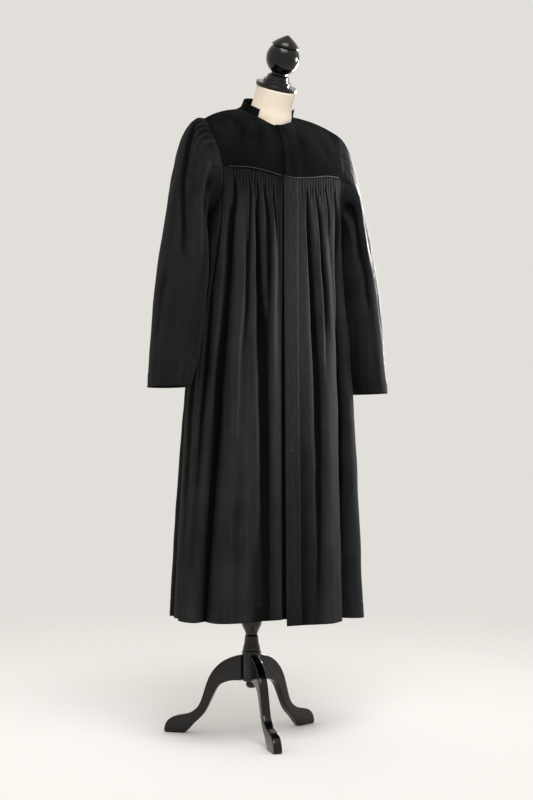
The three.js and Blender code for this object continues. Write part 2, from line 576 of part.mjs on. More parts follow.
function onSleeve(degrees, s, side, pleat = 0) {
  const at = (column) => sleeveRing(s, column);
  const [c, n] = [Math.cos(degrees * RAD), Math.sin(degrees * RAD)];
  const x = (at("outX") + at("inX")) / 2 + ((at("outX") - at("inX")) / 2) * c - at("saddle") * n * n;
  const straight = c > 0 ? 1 - c : Math.abs(n);
  const reach = mix(Math.abs(n), straight, at("fall") * (n > 0 ? 1 : BACK_FALL));
  const y = at("y") - at("lean") * c - (n > 0 ? at("front") : -at("back")) * reach;
  const z = (at("outZ") + at("inZ")) / 2 + ((at("outZ") - at("inZ")) / 2) * c;
  const down = clamp01((s - 2) / 9);
  let out = s < HEAD_RINGS + 1 ? pleat * headPleat(s, "depth") : 0;
  for (const crease of SLEEVE_CREASES) {
    const away = ((degrees - mix(crease.top, crease.cuff, down) + 540) % 360) - 180;
    out += crease.depth * bump(away, crease.width) * smooth((s - 3) / 4) * (1 - 0.45 * smooth((s - 8) / 3));
  }
  const swing = side > 0 ? smooth((s - 4) / 7) : 0;
  const rise = out * (s < HEAD_RINGS ? 0.35 : 0) * c;
  return V(side * (x + out * c + LEFT_SLEEVE.out * swing), y - out * n, z + rise - LEFT_SLEEVE.down * swing);
}

function sleeve(side) {
  const head = [];
  const steps = 2 * SLEEVE_GATHERS;
  for (let k = 0; k <= steps; k++) {
    const uneven = 0.2 * Math.sin(k * 2.1 + side);
    const end = k === 0 || k === steps;
    head.push({
      degrees: mix(-HEAD_REACH, HEAD_REACH, (k + (end ? 0 : uneven)) / steps),
      pleat: end ? 0 : (k % 2 ? 1 : -1) * (1 + uneven),
    });
  }
  for (const degrees of [73, 80, 86, 92, 104, 120, 138, 158, 180, 202, 222, 240, 256, 268, 280, 287]) head.push({ degrees, pleat: 0 });
  const rows = SLEEVE_RINGS.map(({ s }) => {
    if (s <= HEAD_RINGS) {
      return head.map(({ degrees, pleat }) => {
        const p = onSleeve(degrees, s, side, pleat);
        if (s === 0) {
          const gap = SEAM_GAP * (Math.abs(degrees - 180) < 90 ? LOW_GAP : HIGH_GAP);
          p.copy(armhole(degrees > 180 ? degrees - 360 : degrees, side)).add(V(side * gap, 0, -0.2));
          p.z += pleat * HEAD_PLEATS[0].depth * 0.5 * Math.cos(degrees * RAD);
        }
        return { p, u: (degrees + HEAD_REACH) / 360 };
      });
    }
    const columns = [];
    for (let k = 0; k < LOWER_COLUMNS; k++) {
      const degrees = -HEAD_REACH + (360 * k) / LOWER_COLUMNS;
      columns.push({ p: onSleeve(degrees, s, side), u: k / LOWER_COLUMNS });
    }
    return columns;
  });
  return wall(sheet(rows, true), CLOTH);
}

// A small square of cloth at the yoke's front corner, on the sleeve's side of the armhole seam.
const PATCH = { turns: [80, 86, 92], rings: [0.8, 1.2, 1.7], gap: 1 };

function cornerPatch(side) {
  const rows = PATCH.turns.map((degrees) =>
    PATCH.rings.map((s, u) => {
      const p = onSleeve(degrees, s, side);
      const round = onSleeve(degrees + 2, s, side).sub(onSleeve(degrees - 2, s, side));
      const down = onSleeve(degrees, s + 0.1, side).sub(onSleeve(degrees, s - 0.1, side));
      const out = V(0, 0, 0).crossVectors(down, round).normalize().multiplyScalar(side);
      return { p: p.addScaledVector(out, -(CLOTH + PATCH.gap)), u };
    }),
  );
  return wall(sheet(rows), CLOTH);
}

// ---- the dress form -------------------------------------------------------------------------------------------
const REST_GAP = VELVET / 2 + 0.5; // the form's shoulders lie this far under the middle of the yoke's wall
const FORM_RINGS = [
  { z: 812, x: 0.6, front: 0.62, back: 0.72 },
  { z: 832, x: 0.74, front: 0.74, back: 0.86 },
  { z: 880, x: 0.79, front: 0.78, back: 0.92 },
  { z: 950, x: 0.8, front: 0.78, back: 0.93 },
  { z: 1050, x: 0.72, front: 0.73, back: 0.82 },
  { z: 1150, x: 0.63, front: 0.7, back: 0.7 },
  { z: 1230, x: 0.67, front: 0.77, back: 0.76 },
  { z: 1310, x: 0.73, front: 0.86, back: 0.83 },
  { z: 1375, x: 0.78, front: 0.88, back: 0.88 },
];
const FORM_PLACES = [0, 0.12, 0.3, 0.5, 0.75, 1, 1.2, 1.4, 1.6, 1.8, 2, 2.2, 2.4, 2.6, 2.8, 3, 3.25, 3.5, 3.75, 4];
const TILT = NECK_CAP.tilt * RAD;
const NECK = { baseZ: 1560, baseY: -12, radius: 46, topRadius: 47 };

function formTorso() {
  const loop = [
    ...FORM_PLACES.map((c) => ({ c, side: 1 })),
    ...FORM_PLACES.slice(1, -1).toReversed().map((c) => ({ c, side: -1 })),
  ];
  const rings = [];
  const neckTop = NECK_CAP.z - NECK_CAP.thickness / 2 / Math.cos(TILT) - 1;
  const neckPoint = ({ c, side }, share, radius) => {
    const angle = neckAngle(c, "angle") * RAD;
    const [dx, dy] = [radius * Math.sin(angle) * side, -radius * Math.cos(angle)];
    const y = mix(NECK.baseY, NECK_CAP.y, share);
    return V(dx, y + dy * Math.cos(TILT), mix(NECK.baseZ, neckTop, share) + dy * Math.sin(TILT));
  };
  rings.push(loop.map((place) => neckPoint(place, 1, NECK.topRadius)));
  rings.push(loop.map((place) => neckPoint(place, 0.45, NECK.radius)));
  rings.push(loop.map((place) => {
    const edge = neckline(neckAngle(place.c, "angle"), place.side);
    return neckPoint(place, 0, NECK.radius).lerp(edge, 0.4).add(V(0, 0, -4));
  }));
  const under = (c, q, side, depth) => {
    const p = onYoke(c, q, side);
    const across = onYoke(c < 4 ? c + 0.05 : c - 0.05, q, side).sub(p).multiplyScalar(c < 4 ? side : -side);
    const down = onYoke(c, Math.min(1, q + 0.05), side).sub(onYoke(c, Math.max(0, q - 0.05), side));
    const normal = V(0, 0, 0).crossVectors(down, across).normalize();
    return p.addScaledVector(normal, -depth);
  };
  rings.push(loop.map(({ c, side }) => under(c, 0.14, side, REST_GAP + 0.6)));
  for (const q of [0.32, 0.5, 0.68]) {
    rings.push(loop.map(({ c, side }) => under(c, q, side, REST_GAP)));
  }
  rings.push(loop.map(({ c, side }) => under(c, 0.85, side, REST_GAP + 2)));
  rings.push(loop.map(({ c, side }) => under(c, 0.93, side, REST_GAP + 6)));
  for (const ring of FORM_RINGS.toReversed()) {
    rings.push(loop.map(({ c, side }) => {
      const m = yokeEdge(c, side);
      const pull = Math.abs(m.x) > 165 ? 165 + (Math.abs(m.x) - 165) * 0.6 : Math.abs(m.x);
      return V(Math.sign(m.x) * pull * ring.x, m.y * (m.y < 0 ? ring.front : ring.back), ring.z);
    }));
  }
  const rightFront = loop.findIndex(({ c, side }) => side < 0 && c === 2);
  return loft(rings.toReversed(), (k) => k >= rightFront);
}

// ---- the finial and the stand ---------------------------------------------------------------------------------
// A turned piece from its profile: rows of [height, radius], from the bottom up, closed at both ends.
function turned(profile, sides) {
  const rings = profile.map(([z, r]) =>
    Array.from({ length: sides }, (_, k) => {
      const angle = ((k + 0.5) / sides) * 360 * RAD;
      return V(r * Math.cos(angle), r * Math.sin(angle), z);
    }),
  );
  return loft(rings);
}

// The neck cap with its ball, along the axis of the neck, from the cap's middle.
const FINIAL = [
  [-4.5, 49.5], [4.5, 49.5], [4.6, 36], [14, 35], [14.1, 30], [20, 29.5], [20.1, 27], [26, 26.5], [29, 20], [31, 20],
];
const BALL = { middle: 69.4, radius: 41.4, steps: 10 };
const TIP = [[98, 35], [104, 35], [104.1, 25], [108, 22], [116, 13], [122, 6], [125.3, 1.5]];

function finial() {
  const ball = [];
  for (let k = 0; k <= BALL.steps; k++) {
    const angle = mix(-62, 44, k / BALL.steps) * RAD;
    ball.push([BALL.middle + BALL.radius * Math.sin(angle), BALL.radius * Math.cos(angle)]);
  }
  const geometry = turned([...FINIAL, ...ball, ...TIP], 26);
  geometry.rotateX(NECK_CAP.tilt * RAD);
  geometry.translate(0, NECK_CAP.y, NECK_CAP.z);
  return geometry;
}

const POST = [
  [219, 22.6], [224, 22.2], [240, 18.5], [256, 16.6], [259.5, 15], [262, 15.4], [271, 19], [281, 24], [289, 26],
  [297, 25.6], [301, 21], [304, 17], [316, 16], [560, 15], [811.5, 15],
];
const HUB = [
  [139.5, 20], [142, 23.5], [208, 23.5], [208.3, 24.3], [212, 24.8], [216, 24.4], [218.6, 23.6],
];
const NUB = [[122, 5], [124, 10], [130, 14.5], [136, 14], [139.1, 12]];

function post(profile, sides = 24) {
  const geometry = turned(profile, sides);
  geometry.translate(POST_AT.x, POST_AT.y, 0);
  return geometry;
}

// A leg's outline, as [distance out from the post, height]: over the top from the hub to the toe, then back below.
const LEG_OUTLINE = [
  [23.9, 207], [38, 204.5], [55, 199], [69, 192.5], [81.6, 184.5], [97.5, 169], [107, 155], [113.4, 142.5], [120.5, 123],
  [126.6, 103], [134.6, 79], [143.9, 64.7], [161, 52.8], [177, 48.2], [192.6, 46], [211, 40.5], [223, 31.5],
  [229, 20], [231.5, 9], [230.5, 2], [227, 0], [176, 0], [163, 12], [153, 24.7], [134.6, 40.5], [124, 52.5],
  [113.5, 71], [103, 94.5], [92.5, 115.5], [81.9, 128.5], [68.8, 135], [45, 141.2], [23.9, 140.7],
];
const LEG_BEVEL = 1.5;

function leg(turn) {
  const shape = new THREE.Shape(LEG_OUTLINE.map(([r, z]) => new THREE.Vector2(r, z)));
  const geometry = new THREE.ExtrudeGeometry(shape, {
    depth: LEG.thickness - 2 * LEG_BEVEL,
    bevelThickness: LEG_BEVEL,
    bevelSize: LEG_BEVEL,
    bevelOffset: -LEG_BEVEL,
    bevelSegments: 1,
  });
  geometry.translate(0, 0, LEG_BEVEL - LEG.thickness / 2);
  geometry.rotateX(90 * RAD);
  geometry.rotateZ((turn - 90) * RAD);
  geometry.translate(POST_AT.x, POST_AT.y, 0);
  return geometry;
}

// ---- the whole part -------------------------------------------------------------------------------------------
const WOOL = { color: 0x141416, roughness: 0.85, metalness: 0 };
const VELVET_BLACK = { color: 0x08080a, roughness: 0.95, metalness: 0 };
const SATIN = { color: 0x1c1c1e, roughness: 0.5, metalness: 0 };
const JERSEY = { color: 0xe6dccb, roughness: 0.9, metalness: 0 };
const PAINT = { color: 0x0d0d0e, roughness: 0.3, metalness: 0 };

const group = new THREE.Group();

function add(name, geometry, look) {
  const mesh = new THREE.Mesh(geometry, new THREE.MeshStandardMaterial(look));
  mesh.name = name;
  group.add(mesh);
}

const along = (from, to, count) => Array.from({ length: count + 1 }, (_, k) => mix(from, to, k / count));
const pipingLift = (x) => overlapLift(x, YOKE_LIFT);

add("front_right", frontRight(), WOOL);
add("front_left", frontLeft(), WOOL);
add("back", back(), WOOL);
add("fly_placket", flyPlacket(), WOOL);
add("yoke_front_right", yokeFront(-1), VELVET_BLACK);
add("yoke_front_left", yokeFront(1), VELVET_BLACK);
add("yoke_back", yokeBack(), VELVET_BLACK);
add("collar", collar(), VELVET_BLACK);
add("piping_front_right", piping(along(-PIPING.end, PLACKET.left - 4, 14), YOKE_SEAM, () => 0), SATIN);
add("piping_front_left", piping(along(PLACKET.left, PIPING.end, 16), YOKE_SEAM, pipingLift), SATIN);
add("piping_back", piping(along(PIPING.end, -PIPING.end, 24), BACK_SEAM, () => 0), SATIN);
add("sleeve_right", sleeve(-1), WOOL);
add("sleeve_left", sleeve(1), WOOL);
add("corner_patch_right", cornerPatch(-1), WOOL);
add("corner_patch_left", cornerPatch(1), WOOL);
add("form_torso", formTorso(), JERSEY);
add("neck_cap_and_ball", finial(), PAINT);
add("stand_post", post(POST), PAINT);
add("stand_hub", post(HUB), PAINT);
add("stand_nub", post(NUB, 20), PAINT);
["front", "left", "right"].forEach((name, k) => {
  add(`leg_${name}`, leg(LEG.turn + [0, 120, -120][k]), PAINT);
});

const box = new THREE.Box3().setFromObject(group);
const middle = box.getCenter(V(0, 0, 0));
group.position.set(-middle.x, -middle.y, -box.min.z);

export default group;
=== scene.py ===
"""Dresses a clergy robe on a limbless dress form with a turned stand, lights it and sets the camera.

Sizes inside the classes are millimetres, as a maker writes them. Loom.place turns them into metres.
+Z is up, the robe faces -Y and its wearer's left side is +X.
"""

from __future__ import annotations

import json
import logging
import math
from collections.abc import Callable, Sequence
from dataclasses import dataclass, field
from enum import Enum

import bmesh
import bpy
import numpy as np
from mathutils import Matrix, Vector
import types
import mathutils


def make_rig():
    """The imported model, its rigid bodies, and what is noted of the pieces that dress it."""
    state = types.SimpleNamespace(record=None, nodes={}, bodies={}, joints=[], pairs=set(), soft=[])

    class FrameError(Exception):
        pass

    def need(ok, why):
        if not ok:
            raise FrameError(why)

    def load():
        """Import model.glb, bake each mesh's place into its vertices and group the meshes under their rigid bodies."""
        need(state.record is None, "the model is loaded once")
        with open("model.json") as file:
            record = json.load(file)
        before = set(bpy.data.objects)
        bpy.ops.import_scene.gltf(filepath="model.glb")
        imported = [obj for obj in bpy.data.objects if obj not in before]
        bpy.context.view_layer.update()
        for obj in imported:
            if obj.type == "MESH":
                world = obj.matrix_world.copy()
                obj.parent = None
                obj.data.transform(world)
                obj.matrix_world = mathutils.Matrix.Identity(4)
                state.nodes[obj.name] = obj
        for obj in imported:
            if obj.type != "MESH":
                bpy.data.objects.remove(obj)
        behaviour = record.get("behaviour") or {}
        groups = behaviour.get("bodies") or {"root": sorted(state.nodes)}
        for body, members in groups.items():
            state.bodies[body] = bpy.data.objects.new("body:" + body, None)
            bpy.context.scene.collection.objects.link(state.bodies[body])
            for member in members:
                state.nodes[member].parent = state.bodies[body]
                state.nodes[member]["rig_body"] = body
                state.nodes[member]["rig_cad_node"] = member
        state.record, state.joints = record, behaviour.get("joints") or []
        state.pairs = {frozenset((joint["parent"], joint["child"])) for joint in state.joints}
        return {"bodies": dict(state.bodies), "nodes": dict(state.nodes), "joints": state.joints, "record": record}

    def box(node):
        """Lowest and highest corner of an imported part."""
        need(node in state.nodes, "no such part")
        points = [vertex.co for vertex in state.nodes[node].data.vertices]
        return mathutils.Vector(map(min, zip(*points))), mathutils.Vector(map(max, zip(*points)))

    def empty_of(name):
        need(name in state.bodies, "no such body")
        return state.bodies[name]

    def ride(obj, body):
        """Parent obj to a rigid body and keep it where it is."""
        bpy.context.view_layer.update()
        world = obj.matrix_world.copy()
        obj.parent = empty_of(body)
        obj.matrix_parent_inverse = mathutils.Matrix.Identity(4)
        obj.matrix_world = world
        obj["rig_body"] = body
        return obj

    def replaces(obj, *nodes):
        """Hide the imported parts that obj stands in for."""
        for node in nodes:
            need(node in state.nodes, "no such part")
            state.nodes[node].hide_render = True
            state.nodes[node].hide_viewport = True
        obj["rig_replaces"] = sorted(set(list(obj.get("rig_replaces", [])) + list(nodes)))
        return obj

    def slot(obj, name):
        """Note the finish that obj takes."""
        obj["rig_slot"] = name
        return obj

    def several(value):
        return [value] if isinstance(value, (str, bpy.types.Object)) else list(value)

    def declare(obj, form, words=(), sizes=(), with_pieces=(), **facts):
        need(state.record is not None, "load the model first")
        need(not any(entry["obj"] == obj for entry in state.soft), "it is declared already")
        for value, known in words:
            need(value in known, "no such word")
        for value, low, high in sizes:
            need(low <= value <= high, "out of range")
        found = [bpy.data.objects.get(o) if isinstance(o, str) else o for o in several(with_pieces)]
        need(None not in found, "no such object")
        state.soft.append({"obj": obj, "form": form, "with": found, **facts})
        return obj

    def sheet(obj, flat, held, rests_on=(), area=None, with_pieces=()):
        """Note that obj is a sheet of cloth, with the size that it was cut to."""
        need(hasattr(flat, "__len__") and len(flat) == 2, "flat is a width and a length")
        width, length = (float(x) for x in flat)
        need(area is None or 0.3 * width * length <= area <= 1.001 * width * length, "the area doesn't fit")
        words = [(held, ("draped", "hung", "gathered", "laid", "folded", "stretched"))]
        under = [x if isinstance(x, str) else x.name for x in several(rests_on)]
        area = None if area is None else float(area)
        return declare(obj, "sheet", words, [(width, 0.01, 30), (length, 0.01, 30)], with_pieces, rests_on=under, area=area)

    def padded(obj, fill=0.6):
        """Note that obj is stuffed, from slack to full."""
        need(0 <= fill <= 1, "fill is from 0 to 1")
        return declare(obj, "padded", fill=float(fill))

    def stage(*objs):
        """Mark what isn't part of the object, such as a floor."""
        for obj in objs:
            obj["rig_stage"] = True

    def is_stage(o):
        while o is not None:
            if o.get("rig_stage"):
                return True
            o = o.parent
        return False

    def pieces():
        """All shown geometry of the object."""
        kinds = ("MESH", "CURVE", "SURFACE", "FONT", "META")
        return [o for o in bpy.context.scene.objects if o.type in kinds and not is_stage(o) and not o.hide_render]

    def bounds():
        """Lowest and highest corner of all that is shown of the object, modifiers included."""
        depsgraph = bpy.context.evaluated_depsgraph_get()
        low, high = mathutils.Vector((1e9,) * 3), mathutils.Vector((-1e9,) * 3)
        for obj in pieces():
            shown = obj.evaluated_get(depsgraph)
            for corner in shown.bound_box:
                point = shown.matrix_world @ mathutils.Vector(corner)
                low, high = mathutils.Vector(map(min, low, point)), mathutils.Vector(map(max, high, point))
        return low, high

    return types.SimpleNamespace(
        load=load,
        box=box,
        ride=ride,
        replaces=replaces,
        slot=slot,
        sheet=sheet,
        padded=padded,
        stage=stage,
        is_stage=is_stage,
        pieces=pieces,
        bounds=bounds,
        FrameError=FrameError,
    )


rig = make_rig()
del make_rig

log = logging.getLogger("robe")
MM = 0.001
Array = np.ndarray


# ---- small maths ---------------------------------------------------------------------------------
def mix(a: Array | float, b: Array | float, t: Array | float) -> Array | float:
    """Return the value a share t of the way from a to b."""
    return a + (b - a) * t


def smooth(t: Array | float) -> Array | float:
    """Return t eased between 0 and 1."""
    t = np.clip(t, 0.0, 1.0)
    return t * t * (3 - 2 * t)


def bump(x: Array | float, width: Array | float) -> Array | float:
    """Return a soft hill of height 1 at x = 0."""
    return np.exp(-((x / width) ** 2))


def spread(start: float, end: float, count: int) -> Array:
    """Return count + 1 even steps from start to end."""
    return np.linspace(start, end, count + 1)


def zigzag(x: Array, places: Array, heights: Array) -> Array:
    """Return an eased zigzag through the heights at the places."""
    i = np.clip(np.searchsorted(places, x, "right") - 1, 0, len(places) - 2)
    return mix(heights[i], heights[i + 1], smooth((x - places[i]) / (places[i + 1] - places[i])))


def ripple(x: Array, y: Array, seed: int, waves: int = 5) -> Array:
    """Return gentle unevenness between about -1 and 1.

    Args:
        x: Position across, in turns.
        y: Position along, in turns.
        seed: Which unevenness.
        waves: How many waves are added up.

    Returns:
        A sum of sine waves of several sizes and directions.
    """
    rng = np.random.default_rng(seed)
    total = np.zeros(np.broadcast(x, y).shape)
    for k in range(waves):
        turn, phase = rng.uniform(0, 2 * math.pi, 2)
        size = 1.0 + 0.55 * k
        total += np.sin(2 * math.pi * size * (x * math.cos(turn) + y * math.sin(turn)) + phase) / size
    return total / 1.6


class Curve:
    """A smooth curve through the rows of a table, sorted by their first column."""

    def __init__(self, rows: Sequence[Sequence[float]]) -> None:
        """Keep the table."""
        self.table = np.array(rows, float)

    def at(self, x: Array | float, column: int = 1) -> Array:
        """Read one column.

        Args:
            x: Places along the first column.
            column: The column to read.

        Returns:
            The values there, held at both ends.
        """
        xs, ys = self.table[:, 0], self.table[:, column]
        last = len(xs) - 1
        places = np.asarray(x, float)
        i = np.clip(np.searchsorted(xs, places, "right") - 1, 0, last - 1)
        lo, hi = np.maximum(np.arange(last + 1) - 1, 0), np.minimum(np.arange(last + 1) + 1, last)
        slope = (ys[hi] - ys[lo]) / (xs[hi] - xs[lo])
        h = xs[i + 1] - xs[i]
        t = np.clip((places - xs[i]) / h, 0, 1)
        t2, t3 = t * t, t * t * t
        start = (2 * t3 - 3 * t2 + 1) * ys[i] + (t3 - 2 * t2 + t) * h * slope[i]
        return start + (3 * t2 - 2 * t3) * ys[i + 1] + (t3 - t2) * h * slope[i + 1]


def unit(v: Array) -> Array:
    """Return vectors of length 1."""
    return v / np.maximum(np.linalg.norm(v, axis=-1, keepdims=True), 1e-12)


def grid_normals(points: Array, closed: bool = False) -> Array:
    """Return the normal of a grid of points at each point.

    Args:
        points: Rows by columns by 3.
        closed: Whether each row closes on itself.

    Returns:
        Unit normals, down the rows crossed with along the columns.
    """
    if closed:
        across = np.roll(points, -1, axis=1) - np.roll(points, 1, axis=1)
    else:
        across = np.gradient(points, axis=1)
    return unit(np.cross(np.gradient(points, axis=0), across))


# ---- material nodes ------------------------------------------------------------------------------
class Wire:
    """One value in a material's tree, with the usual signs between values."""

    def __init__(self, board: Board, socket: bpy.types.NodeSocket) -> None:
        """Keep the socket that the value comes out of."""
        self.board = board
        self.socket = socket

    def sum_up(self, operation: str, *values: object) -> Wire:
        """Join values with one Math node."""
        node = self.board.add("ShaderNodeMath", {"operation": operation}, dict(enumerate(values)))
        return Wire(self.board, node.outputs[0])

    def __add__(self, other: object) -> Wire:
        """Return self + other."""
        return self.sum_up("ADD", self, other)

    def __radd__(self, other: object) -> Wire:
        """Return other + self."""
        return self.sum_up("ADD", other, self)

    def __sub__(self, other: object) -> Wire:
        """Return self - other."""
        return self.sum_up("SUBTRACT", self, other)

    def __rsub__(self, other: object) -> Wire:
        """Return other - self."""
        return self.sum_up("SUBTRACT", other, self)

    def __mul__(self, other: object) -> Wire:
        """Return self * other."""
        return self.sum_up("MULTIPLY", self, other)

    def __rmul__(self, other: object) -> Wire:
        """Return other * self."""
        return self.sum_up("MULTIPLY", other, self)

    def __truediv__(self, other: object) -> Wire:
        """Return self / other."""
        return self.sum_up("DIVIDE", self, other)

    def __pow__(self, other: object) -> Wire:
        """Return self ** other."""
        return self.sum_up("POWER", self, other)

    def wave(self) -> Wire:
        """Return the sine."""
        return self.sum_up("SINE", self)

    def size(self) -> Wire:
        """Return the value without its sign."""
        return self.sum_up("ABSOLUTE", self)

    def between(self, low: float, high: float, out_low: float = 0.0, out_high: float = 1.0) -> Wire:
        """Ease from one value to another as this one goes from low to high.

        Args:
            low: Where the ease starts.
            high: Where it ends.
            out_low: The value up to low.
            out_high: The value from high.

        Returns:
            The eased value.
        """
        values = {0: self, 1: low, 2: high, 3: out_low, 4: out_high}
        node = self.board.add(
            "ShaderNodeMapRange", {"interpolation_type": "SMOOTHSTEP", "clamp": True}, values
        )
        return Wire(self.board, node.outputs[0])


class Board:
    """The node tree of one material."""

    def __init__(self, name: str) -> None:
        """Start a material with an empty tree."""
        self.material = bpy.data.materials.new(name)
        self.material.use_nodes = True
        self.tree = self.material.node_tree
        self.tree.nodes.clear()

    def add(self, kind: str, settings: dict | None = None, values: dict | None = None) -> bpy.types.Node:
        """Add a node.

        Args:
            kind: The node's type.
            settings: Its own settings, set first.
            values: A value, Wire or socket for each input, by name or number.

        Returns:
            The node.
        """
        node = self.tree.nodes.new(kind)
        for key, value in (settings or {}).items():
            setattr(node, key, value)
        for key, value in (values or {}).items():
            socket = value.socket if isinstance(value, Wire) else value
            if isinstance(socket, bpy.types.NodeSocket):
                self.tree.links.new(socket, node.inputs[key])
            else:
                node.inputs[key].default_value = socket
        return node

    def place(self, scale: Sequence[float] = (1, 1, 1), turn: Sequence[float] = (0, 0, 0)) -> Wire:
        """Return Object coordinates, scaled and turned."""
        source = self.add("ShaderNodeTexCoord").outputs["Object"]
        return self.mapped(Wire(self, source), scale, turn)

    def cloth(self, scale: Sequence[float] = (1, 1, 1), turn: Sequence[float] = (0, 0, 0)) -> Wire:
        """Return the piece's own cloth coordinates in metres, scaled and turned."""
        source = self.add("ShaderNodeUVMap", {"uv_map": "cloth"}).outputs[0]
        return self.mapped(Wire(self, source), scale, turn)

    def fold_shade_mask(self) -> Wire:
        """Return how far the cloth stands out, 0 in a valley and 1 on a ridge: the mask of the painted fold shade."""
        return Wire(self, self.add("ShaderNodeAttribute", {"attribute_name": "rub"}).outputs["Fac"])

    def mapped(self, source: Wire, scale: Sequence[float], turn: Sequence[float]) -> Wire:
        """Return coordinates through a Mapping node."""
        node = self.add("ShaderNodeMapping", {}, {"Vector": source, "Scale": scale, "Rotation": turn})
        return Wire(self, node.outputs[0])

    def part(self, vector: Wire, axis: int) -> Wire:
        """Return one part of a vector."""
        return Wire(self, self.add("ShaderNodeSeparateXYZ", {}, {0: vector}).outputs[axis])

    def noise(self, vector: Wire, scale: float, detail: float = 3.0, roughness: float = 0.55) -> Wire:
        """Return noise of a scale, about 0.5 in the middle."""
        values = {"Vector": vector, "Scale": scale, "Detail": detail, "Roughness": roughness}
        return Wire(self, self.add("ShaderNodeTexNoise", {}, values).outputs[0])

    def tint(self, share: Wire | float, low: Sequence[float], high: Sequence[float]) -> Wire:
        """Return a colour a share of the way between two."""
        settings = {"data_type": "RGBA", "blend_type": "MIX", "clamp_factor": True}
        node = self.add("ShaderNodeMix", settings, {0: share, 6: (*low, 1.0), 7: (*high, 1.0)})
        return Wire(self, node.outputs[2])

    def bump(self, height: Wire, strength: float, distance: float, under: Wire | None = None) -> Wire:
        """Return a normal from a height, over another bump if one is given."""
        values: dict[str, object] = {"Height": height, "Strength": strength, "Distance": distance}
        if under:
            values["Normal"] = under
        return Wire(self, self.add("ShaderNodeBump", {}, values).outputs[0])

    def shade(self, varying: dict[str, Wire], even: dict[str, object]) -> bpy.types.Material:
        """Finish the material.

        Args:
            varying: The shader's inputs that change over the surface.
            even: The shader's inputs that are the same all over.

        Returns:
            The material.
        """
        shader = self.add("ShaderNodeBsdfPrincipled", {}, {**even, **varying})
        self.add("ShaderNodeOutputMaterial", {}, {"Surface": shader.outputs[0]})
        return self.material


@dataclass(frozen=True)
class Wool:
    """Black worsted cloth with a fine weave and a little nap; painted shade in fold valleys, painted light on ridges.
    """

    name: str = "black worsted cloth"
    threads: float = 1500.0
    dark: tuple[float, float, float] = (0.0006, 0.0008, 0.0008)
    light: tuple[float, float, float] = (0.0245, 0.0292, 0.0284)

    def material(self) -> bpy.types.Material:
        """Return the cloth's material."""
        b = Board(self.name)
        cloth = b.cloth()
        across, down = b.part(cloth, 0), b.part(cloth, 1)
        turn = self.threads * 2 * math.pi
        slub = b.noise(b.cloth((1, 14, 1)), 60, 2) * 1.4
        weave = (across * turn + slub).wave() * (down * turn + slub).wave()
        twill = ((across + down) * (turn * 0.5)).wave()
        nap = b.noise(cloth, 900, 4, 0.7)
        cloudy = b.noise(b.place(), 9, 5, 0.6)
        streak = b.noise(b.cloth((60, 2.2, 1)), 1.0, 3)
        shade = (cloudy * 0.6 + streak * 0.4).between(0.3, 0.72)
        # Painted shade and light: darker in fold valleys, lighter on fold ridges, by how far the cloth stands out.
        fold_shade_mask = b.fold_shade_mask()
        painted_shade_and_light = fold_shade_mask.between(0.1, 0.48) ** 1.3 * 0.6 + fold_shade_mask.between(0.55, 0.95) * 0.4
        colour = b.tint(painted_shade_and_light * (shade * 0.5 + weave * 0.12 + nap * 0.12 + 0.3), self.dark, self.light)
        rough = (cloudy * 0.5 + nap * 0.5).between(0.3, 0.7, 0.66, 0.84)
        crumple = b.bump(b.noise(b.cloth((1, 0.45, 1)), 42, 4, 0.6), 0.35, 0.0022)
        normal = b.bump(weave * 0.45 + twill * 0.3 + nap * 0.9, 0.45, 0.00018, crumple)
        even = {
            "Sheen Weight": 0.025, "Sheen Roughness": 0.35, "Sheen Tint": (0.85, 0.84, 0.85, 1),
            "IOR": 1.4, "Specular IOR Level": 0.09,
        }
        return b.shade({"Base Color": colour, "Roughness": rough, "Normal": normal}, even)


@dataclass(frozen=True)
class Velvet:
    """Black cotton velvet: a deep pile brushed one way and another; a painted sheen lightens it towards the top."""

    name: str = "black velvet"
    dark: tuple[float, float, float] = (0.0013, 0.0017, 0.0017)
    light: tuple[float, float, float] = (0.0060, 0.0073, 0.0072)

    def material(self) -> bpy.types.Material:
        """Return the velvet's material."""
        b = Board(self.name)
        cloth, place = b.cloth(), b.place()
        warm = Wire(b, b.add("ShaderNodeTexNoise", {}, {"Vector": place, "Scale": 14.0}).outputs[1])
        bent = b.add(
            "ShaderNodeVectorMath", {"operation": "MULTIPLY_ADD"}, {0: warm, 1: (0.03,) * 3, 2: place}
        )
        brushed = b.noise(b.mapped(Wire(b, bent.outputs[0]), (17, 17, 9), (0.3, 0.5, 0)), 1.0, 4, 0.55)
        pile = b.noise(cloth, 2600, 3, 0.7)
        rows = (b.part(cloth, 0) * (1100 * 2 * math.pi)).wave()
        # Painted sheen: the colour grows lighter towards the top of the yoke, as on lit shoulders.
        height = b.part(place, 2).between(1.41, 1.54)
        share = brushed.between(0.36, 0.66) * (height * 0.75 + 0.25) + pile * 0.15
        colour = b.tint(share, self.dark, self.light)
        rough = (brushed * 0.6 + pile * 0.4).between(0.3, 0.7, 0.82, 0.95)
        soft = b.bump(brushed, 0.25, 0.0016)
        normal = b.bump(pile + rows * 0.15, 0.5, 0.00035, soft)
        even = {
            "Sheen Weight": 0.012, "Sheen Roughness": 0.3, "Sheen Tint": (0.75, 0.8, 0.84, 1),
            "IOR": 1.35, "Specular IOR Level": 0.05,
        }
        return b.shade({"Base Color": colour, "Roughness": rough, "Normal": normal}, even)


